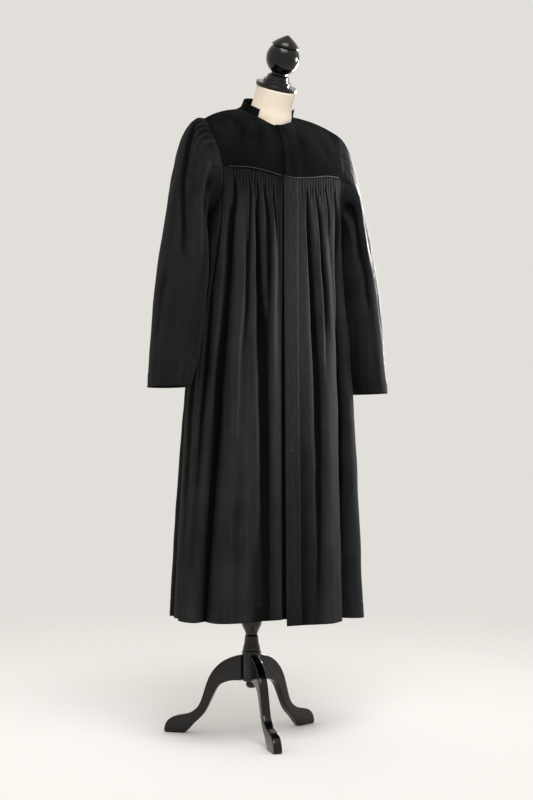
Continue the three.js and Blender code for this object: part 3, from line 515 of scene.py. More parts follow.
@dataclass(frozen=True)
class Satin:
    """Black satin, cut on the slant and wrapped round a cord."""

    name: str = "black satin piping"

    def material(self) -> bpy.types.Material:
        """Return the piping's material."""
        b = Board(self.name)
        cloth = b.cloth((1, 1, 1), (0, 0, 0.7))
        threads = (b.part(cloth, 0) * (2400 * 2 * math.pi)).wave()
        pull = b.noise(b.cloth((220, 900, 1), (0, 0, 0.6)), 1.0, 3)
        colour = b.tint(
            pull.between(0.3, 0.75) * 0.8 + threads * 0.1, (0.006, 0.006, 0.0065), (0.018, 0.017, 0.018)
        )
        rough = pull.between(0.3, 0.7, 0.4, 0.55)
        normal = b.bump(threads * 0.3 + pull, 0.5, 0.0002)
        even = {"Sheen Weight": 0.05, "Sheen Roughness": 0.4, "Specular IOR Level": 0.3}
        return b.shade({"Base Color": colour, "Roughness": rough, "Normal": normal}, even)


@dataclass(frozen=True)
class Jersey:
    """Cream knitted jersey, stretched over the form, with small knit columns."""

    name: str = "cream jersey"
    columns: float = 900.0

    def material(self) -> bpy.types.Material:
        """Return the jersey's material."""
        b = Board(self.name)
        cloth, place = b.cloth(), b.place()
        across, down = b.part(cloth, 0), b.part(cloth, 1)
        turn = self.columns * 2 * math.pi
        column = (across * turn).wave()
        loop = (down * (turn * 1.4) + (across * (turn * 0.5)).wave().size() * 3.0).wave()
        fuzz = b.noise(cloth, 1500, 3, 0.7)
        soil = b.noise(place, 11, 5, 0.6)
        shade = soil.between(0.35, 0.7) * 0.7 + fuzz * 0.2 + loop * 0.06
        colour = b.tint(shade, (0.80, 0.69, 0.55), (0.90, 0.81, 0.69))
        rough = (fuzz * 0.6 + soil * 0.4).between(0.3, 0.7, 0.82, 0.93)
        normal = b.bump(column.size() * 0.6 + loop * 0.4 + fuzz * 0.8, 0.5, 0.00022)
        even = {
            "Sheen Weight": 0.18, "Sheen Roughness": 0.5, "Subsurface Weight": 0.06, "Subsurface Scale": 0.004
        }
        return b.shade({"Base Color": colour, "Roughness": rough, "Normal": normal}, even)


@dataclass(frozen=True)
class BlackPaint:
    """Black gloss paint on turned wood: faint brush marks, patches of dust and small rubs."""

    name: str = "black gloss paint"
    rough_low: float = 0.13
    rough_high: float = 0.3

    def material(self) -> bpy.types.Material:
        """Return the paint's material."""
        b = Board(self.name)
        place = b.place()
        brush = b.noise(b.place((160, 160, 22)), 1.0, 4, 0.6)
        dust = b.noise(place, 34, 6, 0.7)
        specks = b.noise(place, 950, 2, 0.6).between(0.66, 0.74)
        grain = b.noise(b.place((300, 300, 14)), 1.0, 3)
        colour = b.tint(
            dust.between(0.5, 0.8) * 0.8 + specks * 0.5, (0.002, 0.002, 0.0021), (0.011, 0.0105, 0.0105)
        )
        rough = (dust * 0.6 + brush * 0.4 + specks * 0.2).between(0.35, 0.75, self.rough_low, self.rough_high)
        under = b.bump(grain, 0.12, 0.0004)
        normal = b.bump(brush * 0.6 + specks * 0.4, 0.12, 0.0003, under)
        coat = dust.between(0.4, 0.75, 0.32, 0.16)
        even = {"Coat Roughness": 0.06, "Specular IOR Level": 0.22}
        varying = {"Base Color": colour, "Roughness": rough, "Normal": normal, "Coat Weight": coat}
        return b.shade(varying, even)


@dataclass(frozen=True)
class Thread:
    """Polyester sewing thread, twisted."""

    name: str
    colour: tuple[float, float, float]

    def material(self) -> bpy.types.Material:
        """Return the thread's material."""
        b = Board(self.name)
        place = b.place()
        fibre = b.noise(b.place((1, 1, 0.4), (0.4, 0.2, 0.6)), 3500, 3, 0.7)
        light = tuple(min(1.0, c * 1.9 + 0.004) for c in self.colour)
        colour = b.tint(fibre.between(0.3, 0.7), self.colour, light)
        normal = b.bump(fibre, 0.4, 0.0001)
        rough = b.noise(place, 600, 2).between(0.3, 0.7, 0.5, 0.68)
        return b.shade(
            {"Base Color": colour, "Roughness": rough, "Normal": normal}, {"Specular IOR Level": 0.25}
        )


@dataclass(frozen=True)
class Plaster:
    """A plain matt floor that fades out far from its middle."""

    name: str
    colour: tuple[float, float, float]
    fades_from: float = 1.1
    fades_to: float = 3.2

    def material(self) -> bpy.types.Material:
        """Return the floor's material."""
        b = Board(self.name)
        place = b.place()
        patch = b.noise(place, 1.3, 3)
        light = tuple(c * 1.02 for c in self.colour)
        rough = patch.between(0.3, 0.7, 0.7, 0.8)
        x, y = b.part(place, 0), b.part(place, 1)
        seen = (x * x + y * y).sum_up("POWER", x * x + y * y, 0.5).between(
            self.fades_from, self.fades_to, 1.0, 0.0
        )
        return b.shade(
            {"Base Color": b.tint(patch, self.colour, light), "Roughness": rough, "Alpha": seen}, {}
        )


# ---- making meshes -------------------------------------------------------------------------------
@dataclass
class Loom:
    """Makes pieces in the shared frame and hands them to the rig."""

    shift: Array
    finishes: dict[str, bpy.types.Material] = field(default_factory=dict)
    made: int = 0

    @classmethod
    def in_frame(cls, post_at: tuple[float, float]) -> Loom:
        """Find the shared frame from the stand's post.

        Args:
            post_at: The post's middle in the maker's millimetres.

        Returns:
            A loom that places pieces there.
        """
        low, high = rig.box("stand_post")
        shift = [(low[k] + high[k]) / 2 / MM - post_at[k] for k in (0, 1)]
        return cls(np.array([*shift, 0.0]))

    def place(self, points: Array) -> Array:
        """Return points in metres in the shared frame."""
        return (points + self.shift) * MM

    def dress(self, finish: object) -> bpy.types.Material:
        """Return a finish's material, made once."""
        if finish.name not in self.finishes:
            self.finishes[finish.name] = finish.material()
        return self.finishes[finish.name]

    def keep(
        self, piece: bpy.types.Object, finish: object, slot: str, nodes: Sequence[str] = ()
    ) -> bpy.types.Object:
        """Dress a piece, let it ride on the one body and report it.

        Args:
            piece: The finished object.
            finish: What it is finished with.
            slot: The material slot it belongs to.
            nodes: The solids it stands for.

        Returns:
            The piece.
        """
        piece.data.materials.clear()
        piece.data.materials.append(self.dress(finish))
        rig.ride(piece, "root")
        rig.slot(piece, slot)
        if nodes:
            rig.replaces(piece, *nodes)
        self.made += 1
        log.info("%s: %d faces", piece.name, len(piece.data.polygons))
        return piece

    def mesh(
        self, name: str, points: Array, faces: Sequence[Sequence[int]], uv: Array | None = None
    ) -> bpy.types.Object:
        """Make an object from points in the maker's millimetres.

        Args:
            name: The piece's name.
            points: Points by 3.
            faces: Their numbers for each face.
            uv: Cloth coordinates in millimetres for each point.

        Returns:
            The object, smooth shaded.
        """
        mesh = bpy.data.meshes.new(name)
        mesh.from_pydata(self.place(points).tolist(), [], faces)
        if uv is not None:
            corners = np.empty(len(mesh.loops), np.int32)
            mesh.loops.foreach_get("vertex_index", corners)
            layer = mesh.uv_layers.new(name="cloth")
            layer.data.foreach_set("uv", (uv[corners] * MM).ravel())
        mesh.polygons.foreach_set("use_smooth", [True] * len(mesh.polygons))
        mesh.update()
        piece = bpy.data.objects.new(name, mesh)
        bpy.context.scene.collection.objects.link(piece)
        return piece


def cloth_lengths(points: Array) -> Array:
    """Return how far each point of a grid lies across and down the cloth.

    Args:
        points: Rows by columns by 3.

    Returns:
        Rows by columns by 2, from the middle column and the top row.
    """
    across = np.linalg.norm(np.diff(points, axis=1), axis=2)
    down = np.linalg.norm(np.diff(points, axis=0), axis=2)
    u = np.concatenate([np.zeros((len(points), 1)), across.cumsum(axis=1)], axis=1)
    v = np.concatenate([np.zeros((1, points.shape[1])), down.cumsum(axis=0)], axis=0)
    middle = u[:, u.shape[1] // 2][:, None]
    return np.stack([u - middle, -np.broadcast_to(v.mean(axis=1)[:, None], u.shape)], axis=2)


@dataclass
class Sheet:
    """A piece of cloth as a grid of points, rows down and columns across."""

    points: Array
    thickness: float
    closed: bool = False
    outward: Array = field(init=False)

    def __post_init__(self) -> None:
        """Find which way the cloth faces at each point."""
        self.outward = grid_normals(self.points, self.closed)
        middle = self.points.reshape(-1, 3).mean(axis=0)
        away = (self.points - middle) * np.array([1, 1, 0.0])
        if not self.closed:
            away = self.points * np.array([1, 1, 0.35]) - np.array([0, 0, 0.35 * middle[2] - 200])
        if float((self.outward * away).sum()) < 0:
            self.outward = -self.outward

    def faces_out(self) -> bool:
        """Return whether the grid's own order already faces outwards."""
        return float((grid_normals(self.points, self.closed) * self.outward).sum()) > 0

    def quads(self) -> list[tuple[int, int, int, int]]:
        """Return the grid's faces, facing outwards."""
        rows, columns = self.points.shape[:2]
        last = columns if self.closed else columns - 1
        r, c = np.meshgrid(np.arange(rows - 1), np.arange(last), indexing="ij")
        n = (c + 1) % columns
        quads = np.stack(
            [r * columns + c, (r + 1) * columns + c, (r + 1) * columns + n, r * columns + n], axis=-1
        )
        quads = quads.reshape(-1, 4)
        return (quads if self.faces_out() else quads[:, ::-1]).tolist()

    def weave(self, loom: Loom, name: str) -> bpy.types.Object:
        """Make the cloth, with its thickness.

        Args:
            loom: Where pieces are made.
            name: The piece's name.

        Returns:
            The object, with a wall on both sides of the grid.
        """
        uv = cloth_lengths(self.points).reshape(-1, 2)
        piece = loom.mesh(name, self.points.reshape(-1, 3), self.quads(), uv)
        wall = piece.modifiers.new("thickness", "SOLIDIFY")
        wall.thickness, wall.offset = self.thickness * MM, 0.0
        wall.use_quality_normals = True
        # Painted fold shade: the wool darkens its colour where this is low (valleys) and lightens it on ridges.
        rub = piece.data.attributes.new("rub", "FLOAT", "POINT")
        rub.data.foreach_set("value", self.stands_out().ravel())
        return piece

    def stands_out(self) -> Array:
        """Return how far each point stands out of the cloth around it, from 0 in a valley to 1 on a ridge."""
        run = np.concatenate(
            [[0], np.linalg.norm(np.diff(self.points, axis=1), axis=2).mean(axis=0).cumsum()]
        )
        away = np.abs(run[:, None] - run[None, :])
        if self.closed:
            away = np.minimum(away, run[-1] - away)
        out = np.zeros(self.points.shape[:2])
        for reach, share in ((15.0, 0.4), (38.0, 0.0 if self.closed else 0.09)):
            near = np.exp(-0.5 * (away / reach) ** 2) * np.gradient(run)[None, :]
            near /= near.sum(axis=1, keepdims=True)
            level = np.einsum("ij,rjk->rik", near, self.points)
            height = ((self.points - level) * self.outward).sum(axis=2)
            out += share * (height - np.median(height))
        return 0.5 + 0.5 * np.tanh(out)

    def at(self, row: Array | float, column: Array | float) -> tuple[Array, Array]:
        """Read the cloth between its points.

        Args:
            row: Places down, in rows.
            column: Places across, in columns.

        Returns:
            The points and the outward directions there.
        """
        rows, columns = self.points.shape[:2]
        row, column = np.broadcast_arrays(np.asarray(row, float), np.asarray(column, float))
        r = np.clip(np.floor(row).astype(int), 0, rows - 2)
        last = columns if self.closed else columns - 1
        c = np.floor(column).astype(int) % columns if self.closed else np.clip(
            np.floor(column).astype(int), 0, last - 1
        )
        n = (c + 1) % columns
        s, t = (row - r)[..., None], (column - np.floor(column) if self.closed else column - c)[..., None]

        def blend(grid: Array) -> Array:
            """Return a grid's value between four points."""
            return mix(mix(grid[r, c], grid[r, n], t), mix(grid[r + 1, c], grid[r + 1, n], t), s)

        return blend(self.points), unit(blend(self.outward))

    def area(self) -> float:
        """Return the cloth's area in square metres."""
        p = self.points
        if self.closed:
            p = np.concatenate([p, p[:, :1]], axis=1)
        a, b = p[1:, 1:] - p[:-1, :-1], p[1:, :-1] - p[:-1, 1:]
        return float(np.linalg.norm(np.cross(a, b), axis=2).sum() / 2 * MM * MM)

    def line(self, row: float | Array, column: float | Array, lift: float = 0.0) -> tuple[Array, Array]:
        """Return a line on the outer face, lifted a little off it, and its outward directions."""
        points, outward = self.at(row, column)
        return points + outward * (self.thickness / 2 + lift), outward

    def tell(self, name: str) -> None:
        """Log the sheet's area, its widest row and its longest column, in metres."""
        across = np.linalg.norm(np.diff(self.points, axis=1), axis=2).sum(1).max() * MM
        down = np.linalg.norm(np.diff(self.points, axis=0), axis=2).sum(0).max() * MM
        log.info("%s area %.5f, widest %.3f, longest %.3f", name, self.area(), across, down)


@dataclass(frozen=True)
class Stitch:
    """A row of machine stitches: the length of one, the gap to the next and the thread's thickness."""

    length: float = 2.6
    gap: float = 0.9
    thick: float = 0.55

    def sew(
        self, loom: Loom, name: str, lines: Sequence[tuple[Array, Array]], seed: int = 1
    ) -> bpy.types.Object:
        """Sew stitches along lines on the cloth.

        Args:
            loom: Where pieces are made.
            name: The piece's name.
            lines: For each line its points and the outward directions there.
            seed: Which unevenness.

        Returns:
            One object with every stitch.
        """
        rng = np.random.default_rng(seed)
        rings = ((0.0, 0.3), (0.22, 0.92), (0.5, 1.0), (0.78, 0.92), (1.0, 0.3))
        sides = 5
        points: list[Array] = []
        faces: list[tuple[int, ...]] = []
        for path, outward in lines:
            steps = np.linalg.norm(np.diff(path, axis=0), axis=1)
            run = np.concatenate([[0], steps.cumsum()])
            starts = np.arange(0.4, run[-1] - self.length, self.length + self.gap)
            for start in starts:
                ends = np.array([start, start + self.length * rng.uniform(0.9, 1.0)])
                tips = np.stack([np.interp(ends, run, path[:, k]) for k in range(3)], axis=1)
                up = unit(np.array([np.interp(ends.mean(), run, outward[:, k]) for k in range(3)]))
                way = unit(tips[1] - tips[0])
                side = np.cross(way, up)
                base = len(points) * 1
                for share, size in rings:
                    centre = mix(tips[0], tips[1], share) + up * (
                        self.thick * 0.32 * math.sin(math.pi * share)
                    )
                    for k in range(sides):
                        angle = 2 * math.pi * k / sides
                        ring = side * math.cos(angle) + up * (0.75 * math.sin(angle))
                        points.append(centre + ring * (self.thick / 2 * size))
                for r in range(len(rings) - 1):
                    for k in range(sides):
                        a, c = base + r * sides + k, base + r * sides + (k + 1) % sides
                        faces.append((a, a + sides, c + sides, c))
                faces.append(tuple(base + k for k in range(sides)))
                end = base + (len(rings) - 1) * sides
                faces.append(tuple(end + k for k in reversed(range(sides))))
        piece = loom.mesh(name, np.array(points), faces)
        turn_out(piece)
        return piece


def turn_out(piece: bpy.types.Object) -> None:
    """Make a closed piece's faces point outwards.

    Args:
        piece: The object.
    """
    work = bmesh.new()
    work.from_mesh(piece.data)
    bmesh.ops.remove_doubles(work, verts=work.verts, dist=1e-7)
    bmesh.ops.recalc_face_normals(work, faces=work.faces)
    work.to_mesh(piece.data)
    work.free()


# ---- the gown's own shape ------------------------------------------------------------------------
@dataclass(frozen=True)
class Crease:
    """A long fold: its place, depth and half width at the hem, mid-thigh, waist and chest."""

    places: tuple[float, float, float, float]
    depths: tuple[float, float, float, float]
    widths: tuple[float, float, float, float]
    sway: float = 0.006
    seed: int = 0


@dataclass(frozen=True)
class Dent:
    """A short trough or ridge on a sleeve, between places (degrees, s): depth and half width in mm."""

    start: tuple[float, float]
    end: tuple[float, float]
    depth: float
    width: float


@dataclass
class GownShape:
    """The gown below the yoke, as a plain section at each height with folds laid on it."""

    cloth: float = 1.3
    seam_gap: float = 0.7
    hem_left: float = 301.0
    hem_right: float = 317.0
    hem_back_left: float = 306.0
    hem_back_right: float = 322.0
    corner_share: float = 0.69
    corner_turn: float = 94.0
    tallest: float = 1100.0
    arc_steps: int = 200
    sections: Curve = field(default_factory=lambda: Curve([
        (301, 256, 118, 186, 3.1, 2.1), (600, 244, 114, 152, 3.1, 2.1), (880, 228, 110, 120, 3.1, 2.1),
        (1092, 200, 107, 112, 3.2, 2.2), (1200, 187, 106, 110, 3.2, 2.4), (1308, 181, 106, 106, 3.0, 2.6),
        (1415, 182, 105, 100, 3.0, 2.8),
    ]))
    armhole_front: Curve = field(default_factory=lambda: Curve([
        (0, 197, -36), (20, 193, -39), (45, 186, -50), (60, 181.5, -61), (76, 177, -72), (94, 174, -81),
        (112, 172.5, -80), (135, 173.5, -62), (158, 176, -31), (180, 178, 0),
    ]))
    armhole_back: Curve = field(default_factory=lambda: Curve([
        (0, 197, -36), (20, 194.5, -10), (45, 188.5, 24), (70, 181, 54), (94, 174, 70), (120, 173, 68),
        (150, 175.5, 42), (180, 178, 0),
    ]))
    yoke_seam: tuple[float, ...] = (1402, 1413, -105, -81, 174)
    back_seam: tuple[float, ...] = (1408, 1413, 100, 70, 174)
    fold_levels: tuple[float, ...] = (301, 880, 1130, 1350)
    folds: tuple[Crease, ...] = (
        Crease((-0.95, -0.94, -0.94, -0.93), (-2, -10, -20, -4), (0.08, 0.08, 0.08, 0.08)),
        Crease((-0.84, -0.8, -0.815, -0.74), (-1, -9, -12, -5), (0.06, 0.04, 0.03, 0.03), 0.008, 1),
        Crease((-0.735, -0.65, -0.64, -0.62), (-38, -28, -20, -5), (0.055, 0.05, 0.042, 0.03), 0.007, 2),
        Crease((-0.5, -0.5, -0.52, -0.52), (18, 9, 3, 0), (0.17, 0.12, 0.08, 0.08)),
        Crease((-0.5, -0.48, -0.46, -0.46), (-3, -3, -6, -2), (0.06, 0.04, 0.03, 0.03), 0.01, 3),
        Crease((-0.24, -0.27, -0.325, -0.37), (-1, -15, -15, -4), (0.06, 0.048, 0.038, 0.025), 0.006, 4),
        Crease((-0.24, -0.235, -0.215, -0.26), (0, 0, -3, -3), (0.03, 0.03, 0.026, 0.022), 0.006, 5),
        Crease((-0.175, -0.18, -0.185, -0.18), (2, 4, 6, 1), (0.04, 0.035, 0.03, 0.022), 0.003, 6),
        Crease((0.22, 0.265, 0.262, 0.205), (-1, -13, -17, -4), (0.04, 0.046, 0.04, 0.025), 0.005, 7),
        Crease((0.38, 0.37, 0.41, 0.36), (0, -1, -11, -3), (0.03, 0.03, 0.028, 0.022), 0.005, 8),
        Crease((0.3, 0.36, 0.42, 0.42), (22, 10, 3, 0), (0.15, 0.13, 0.1, 0.1)),
        Crease((0.5, 0.56, 0.54, 0.48), (0, -6, -2, -3), (0.04, 0.05, 0.03, 0.024), 0.006, 9),
        Crease((0.625, 0.61, 0.65, 0.64), (-70, -36, -21, -5), (0.072, 0.058, 0.04, 0.028), 0.004, 10),
        Crease((0.75, 0.75, 0.75, 0.73), (0, 2, 11, 5), (0.05, 0.045, 0.045, 0.045), 0.002, 26),
        Crease((0.8, 0.78, 0.78, 0.78), (10, 4, 0, 0), (0.08, 0.06, 0.05, 0.05)),
        Crease((0.84, 0.8, 0.76, 0.75), (0, -3, -9, -2), (0.05, 0.035, 0.03, 0.03), 0.007, 11),
        Crease((0.95, 0.94, 0.94, 0.93), (-6, -14, -20, -4), (0.07, 0.07, 0.08, 0.08)),
        Crease((1.07, 1.07, 1.07, 1.07), (-4, -10, -14, -6), (0.07, 0.07, 0.08, 0.08)),
        Crease((2.93, 2.93, 2.93, 2.93), (-4, -10, -14, -6), (0.07, 0.07, 0.08, 0.08)),
        Crease((1.14, 1.15, 1.16, 1.17), (-26, -17, -10, -2), (0.045, 0.038, 0.032, 0.03), 0.006, 12),
        Crease((1.33, 1.32, 1.31, 1.3), (-20, -16, -12, -3), (0.05, 0.04, 0.032, 0.026), 0.008, 13),
        Crease((1.46, 1.46, 1.45, 1.44), (0, -5, -9, -3), (0.04, 0.032, 0.026, 0.024), 0.008, 14),
        Crease((1.63, 1.61, 1.59, 1.58), (-28, -19, -12, -3), (0.055, 0.042, 0.032, 0.026), 0.007, 15),
        Crease((1.76, 1.75, 1.74, 1.73), (-3, -7, -10, -3), (0.04, 0.034, 0.028, 0.024), 0.008, 16),
        Crease((1.93, 1.92, 1.9, 1.9), (-24, -17, -11, -3), (0.055, 0.042, 0.032, 0.026), 0.007, 17),
        Crease((2.13, 2.11, 2.09, 2.08), (-4, -9, -10, -3), (0.045, 0.034, 0.028, 0.024), 0.008, 18),
        Crease((2.28, 2.27, 2.25, 2.24), (-27, -19, -12, -3), (0.055, 0.042, 0.032, 0.026), 0.007, 19),
        Crease((2.45, 2.44, 2.42, 2.41), (-3, -8, -10, -3), (0.04, 0.034, 0.028, 0.024), 0.008, 20),
        Crease((2.62, 2.6, 2.58, 2.56), (-24, -17, -12, -3), (0.05, 0.04, 0.032, 0.026), 0.007, 21),
        Crease((2.82, 2.82, 2.81, 2.8), (-20, -15, -9, -2), (0.045, 0.038, 0.032, 0.03), 0.006, 22),
    )
    hem_fold: float = 45.0
    seam_wave: Curve = field(default_factory=lambda: Curve([
        (-174, 0), (-150, 1), (-112, 5), (-62, 2.5), (-25, -2.2), (0, -4), (22, -4), (62, 0), (112, 6),
        (148, 5), (174, 0),
    ]))

    def quarter(self, z: Array, front: Array) -> tuple[Array, Array, Array]:
        """Return the outline from the middle to a side seam.

        Args:
            z: Heights.
            front: Whether each height's outline is the front one.

        Returns:
            Across, depth and length along the cloth, each heights by steps.
        """
        side = self.sections.at(z, 1)[:, None]
        depth = np.where(front, self.sections.at(z, 2), self.sections.at(z, 3))[:, None]
        power = 2 / np.where(front, self.sections.at(z, 4), self.sections.at(z, 5))[:, None]
        angle = np.linspace(0, math.pi / 2, self.arc_steps + 1)[None, :]
        xs = side * np.sin(angle) ** power
        ys = depth * np.maximum(0, np.cos(angle)) ** power
        steps = np.hypot(np.diff(xs, axis=1), np.diff(ys, axis=1))
        return xs, ys, np.concatenate([np.zeros((len(z), 1)), steps.cumsum(axis=1)], axis=1)

    def girth(self, z: Array, front: bool) -> Array:
        """Return the cloth from the middle to a side seam at each height."""
        z = np.asarray(z, float)
        flat = z.ravel()
        return self.quarter(flat, np.full(flat.shape, front))[2][:, -1].reshape(z.shape)

    def plain(self, u: Array, z: Array) -> Array:
        """Return points of the plain section, without folds.

        Args:
            u: Places round the gown: 0 front, 1 left seam, 2 back, -1 right seam.
            z: Heights.

        Returns:
            Points by 3.
        """
        wrapped = np.where(u < -1, u + 4, u)
        front = wrapped <= 1
        xs, ys, lengths = self.quarter(z, front)
        from_middle = np.where(front, np.abs(wrapped), np.abs(2 - wrapped))
        sign = np.where(front, np.where(wrapped < 0, -1, 1), np.where(wrapped > 2, -1, 1))
        target = from_middle * lengths[:, -1]
        k = np.clip((lengths < target[:, None]).sum(axis=1), 1, self.arc_steps)
        rows = np.arange(len(u))
        t = (target - lengths[rows, k - 1]) / (lengths[rows, k] - lengths[rows, k - 1])
        x = sign * mix(xs[rows, k - 1], xs[rows, k], t)
        y = np.where(front, -1, 1) * mix(ys[rows, k - 1], ys[rows, k], t)
        return np.stack([x, y, z], axis=1)

    def fold(self, u: Array, z: Array) -> Array:
        """Return how far the folds move the cloth outwards."""
        depth = np.zeros(len(u))
        for crease in self.folds:
            at = [Curve(tuple(zip(self.fold_levels, row))).at(z) for row in (
                crease.places, crease.depths, crease.widths
            )]
            sway = crease.sway * ripple(z / 520, z * 0 + 0.3 * crease.seed, 40 + crease.seed, 3)
            uneven = 1 + 0.14 * ripple(z / 330, z * 0, 90 + crease.seed, 3)
            away = (u - at[0] - sway + 6) % 4 - 2
            lean = 1 + 0.3 * np.tanh(1.4 * away / at[2]) * (1 if crease.seed % 5 else -0.5)
            depth += at[1] * uneven * bump(away, at[2] * lean)
        return depth

    def hung(self, u: Array, z: Array, extra: Array) -> Array:
        """Return points of the folded gown.

        Args:
            u: Places round the gown.
            z: Heights.
            extra: How far each point is moved out of the folded cloth.

        Returns:
            Points by 3.
        """
        step = 0.012
        way = self.plain(u + step, z) - self.plain(u - step, z)
        out = unit(np.stack([way[:, 1], -way[:, 0], np.zeros(len(u))], axis=1))
        return self.plain(u, z) + out * (self.fold(u, z) + extra)[:, None]

    def armhole(self, degrees: Array, side: int) -> Array:
        """Return points of the armhole seam, from the shoulder point round to the underarm at 180 degrees."""
        turn = np.abs(degrees)
        z = 1420.5 + 112.5 * np.cos(np.radians(turn))
        x = np.where(degrees > 0, self.armhole_front.at(turn, 1), self.armhole_back.at(turn, 1))
        y = np.where(degrees > 0, self.armhole_front.at(turn, 2), self.armhole_back.at(turn, 2))
        return np.stack([side * x, y, z], axis=-1)

    def under_yoke(self, x: Array, front: bool) -> Array:
        """Return points of the seam under the yoke, by the distance from the middle."""
        centre_z, corner_z, centre_y, corner_y, corner_x = self.yoke_seam if front else self.back_seam
        share = np.abs(x) / corner_x
        sag = self.seam_wave.at(x) if front else 0.0
        return np.stack(
            [x, mix(centre_y, corner_y, share**2.6), mix(centre_z, corner_z, share**1.5) + sag], axis=-1
        )


@dataclass(frozen=True)
class Furrow:
    """A valley under the gathering rows: its path as (drop, place across in mm), and its depth."""

    path: tuple[tuple[float, float], ...]
    depth: float = 2.6
    width: float = 2.3
    reach: float = 60.0
    top: float = 17.0

    def cut(self, x: Array, drop: float, side: int) -> Array:
        """Return how far it lowers the cloth, steeper on the side that faces the wearer's left."""
        place = float(Curve(self.path).at(drop)) if len(self.path) > 1 else self.path[0][1]
        sinks = smooth((drop - self.top) / (14 + 4 * self.depth)) * (
            1 - smooth((drop - 0.4 * self.reach) / (0.6 * self.reach))
        )
        width = self.width * (0.4 + 0.6 * smooth((drop - self.top) / 110))
        away = x - place
        lean = 1 + 0.36 * side * np.tanh(1.3 * away / width)
        return self.depth * sinks * (bump(away, width * lean) - 0.22 * bump(away, 3.2 * width))


RIGHT_FURROWS = (
    Furrow(((10, 14), (1100, 14)), 8.5, 9.0, 2600, 4),
    Furrow(((30, 38), (95, 34), (180, 31), (310, 30)), 2.8, 1.8, 330),
    Furrow(((35, 36), (60, 29)), reach=75),
    Furrow(((30, 46), (65, 47), (100, 43), (140, 40), (185, 39)), 5.0, 4.2, 200),
    Furrow(((25, 54), (30, 50)), reach=50),
    Furrow(((25, 73), (60, 71), (110, 64), (165, 59), (220, 56)), 5.0, 5.4, 230),
    Furrow(((25, 82),), 1.8, 2.0, 48),
    Furrow(((30, 91), (65, 89), (105, 93), (190, 89), (255, 87), (315, 82)), 6.2, 5.0, 560),
    Furrow(((30, 100), (45, 95)), reach=62),
    Furrow(((25, 111), (65, 109), (145, 110), (280, 109)), 5.6, 4.6, 270),
    Furrow(((25, 125), (45, 127)), 3.0, 2.2, 66),
    Furrow(((25, 136), (40, 138)), 2.2, 2.2, 54),
    Furrow(((30, 146), (90, 148), (130, 155), (195, 162), (295, 163)), 7.0, 8.0, 520),
)
LEFT_FURROWS = (
    Furrow(((20, 38), (40, 38)), 3.0, 2.3, 85),
    Furrow(
        ((25, 48), (45, 53), (60, 52), (120, 53), (175, 57), (220, 61), (300, 65), (440, 70)), 6.8, 6.0, 640
    ),
    Furrow(((20, 64), (30, 68)), reach=64),
    Furrow(((25, 77), (75, 87), (105, 91), (175, 99), (240, 105), (310, 108)), 5.6, 4.6, 440),
    Furrow(((30, 91), (50, 98)), 3.0, 2.4, 80),
    Furrow(((25, 109), (45, 116), (95, 123), (175, 122)), 4.4, 4.2, 230),
    Furrow(((30, 131), (50, 133)), 3.0, 2.4, 76),
    Furrow(((25, 143), (60, 149), (110, 158), (170, 164), (290, 166)), 7.4, 7.0, 560),
)
BACK_LEFT_FURROWS = (
    Furrow(((30, 12), (120, 15), (300, 19)), 5.6, 5.0, 420), Furrow(((25, 24), (45, 27)), reach=70),
    Furrow(((30, 37), (140, 41), (260, 43)), 4.6, 4.6, 300), Furrow(((25, 50), (40, 48)), 2.2, 2.2, 56),
    Furrow(((30, 62), (100, 66), (300, 74)), 6.0, 5.4, 450), Furrow(((25, 77), (50, 80)), 3.0, 2.4, 84),
    Furrow(((30, 90), (150, 95), (280, 97)), 5.0, 4.8, 330), Furrow(((25, 103), (45, 101)), reach=62),
    Furrow(((30, 117), (120, 122), (300, 131)), 5.8, 5.4, 430), Furrow(((25, 131), (45, 134)), 2.4, 2.3, 70),
    Furrow(((30, 146), (120, 152), (300, 163)), 5.4, 5.6, 400),
)
BACK_RIGHT_FURROWS = (
    Furrow(((25, 7), (50, 5)), 2.6, 2.3, 70), Furrow(((30, 21), (120, 25), (300, 32)), 5.4, 5.2, 400),
    Furrow(((25, 35), (45, 38)), 2.4, 2.2, 58), Furrow(((30, 49), (140, 52), (260, 54)), 4.6, 4.6, 310),
    Furrow(((25, 61), (50, 64)), 3.0, 2.4, 82), Furrow(((30, 75), (110, 81), (300, 90)), 6.0, 5.6, 450),
    Furrow(((25, 88), (40, 87)), 2.2, 2.2, 52), Furrow(((30, 102), (150, 106), (280, 108)), 4.8, 4.8, 320),
    Furrow(((25, 115), (45, 118)), reach=72), Furrow(((30, 129), (120, 134), (300, 145)), 5.8, 5.4, 440),
    Furrow(((25, 143), (40, 146)), 2.4, 2.2, 60), Furrow(((30, 155), (110, 160), (260, 168)), 4.8, 5.0, 360),
)


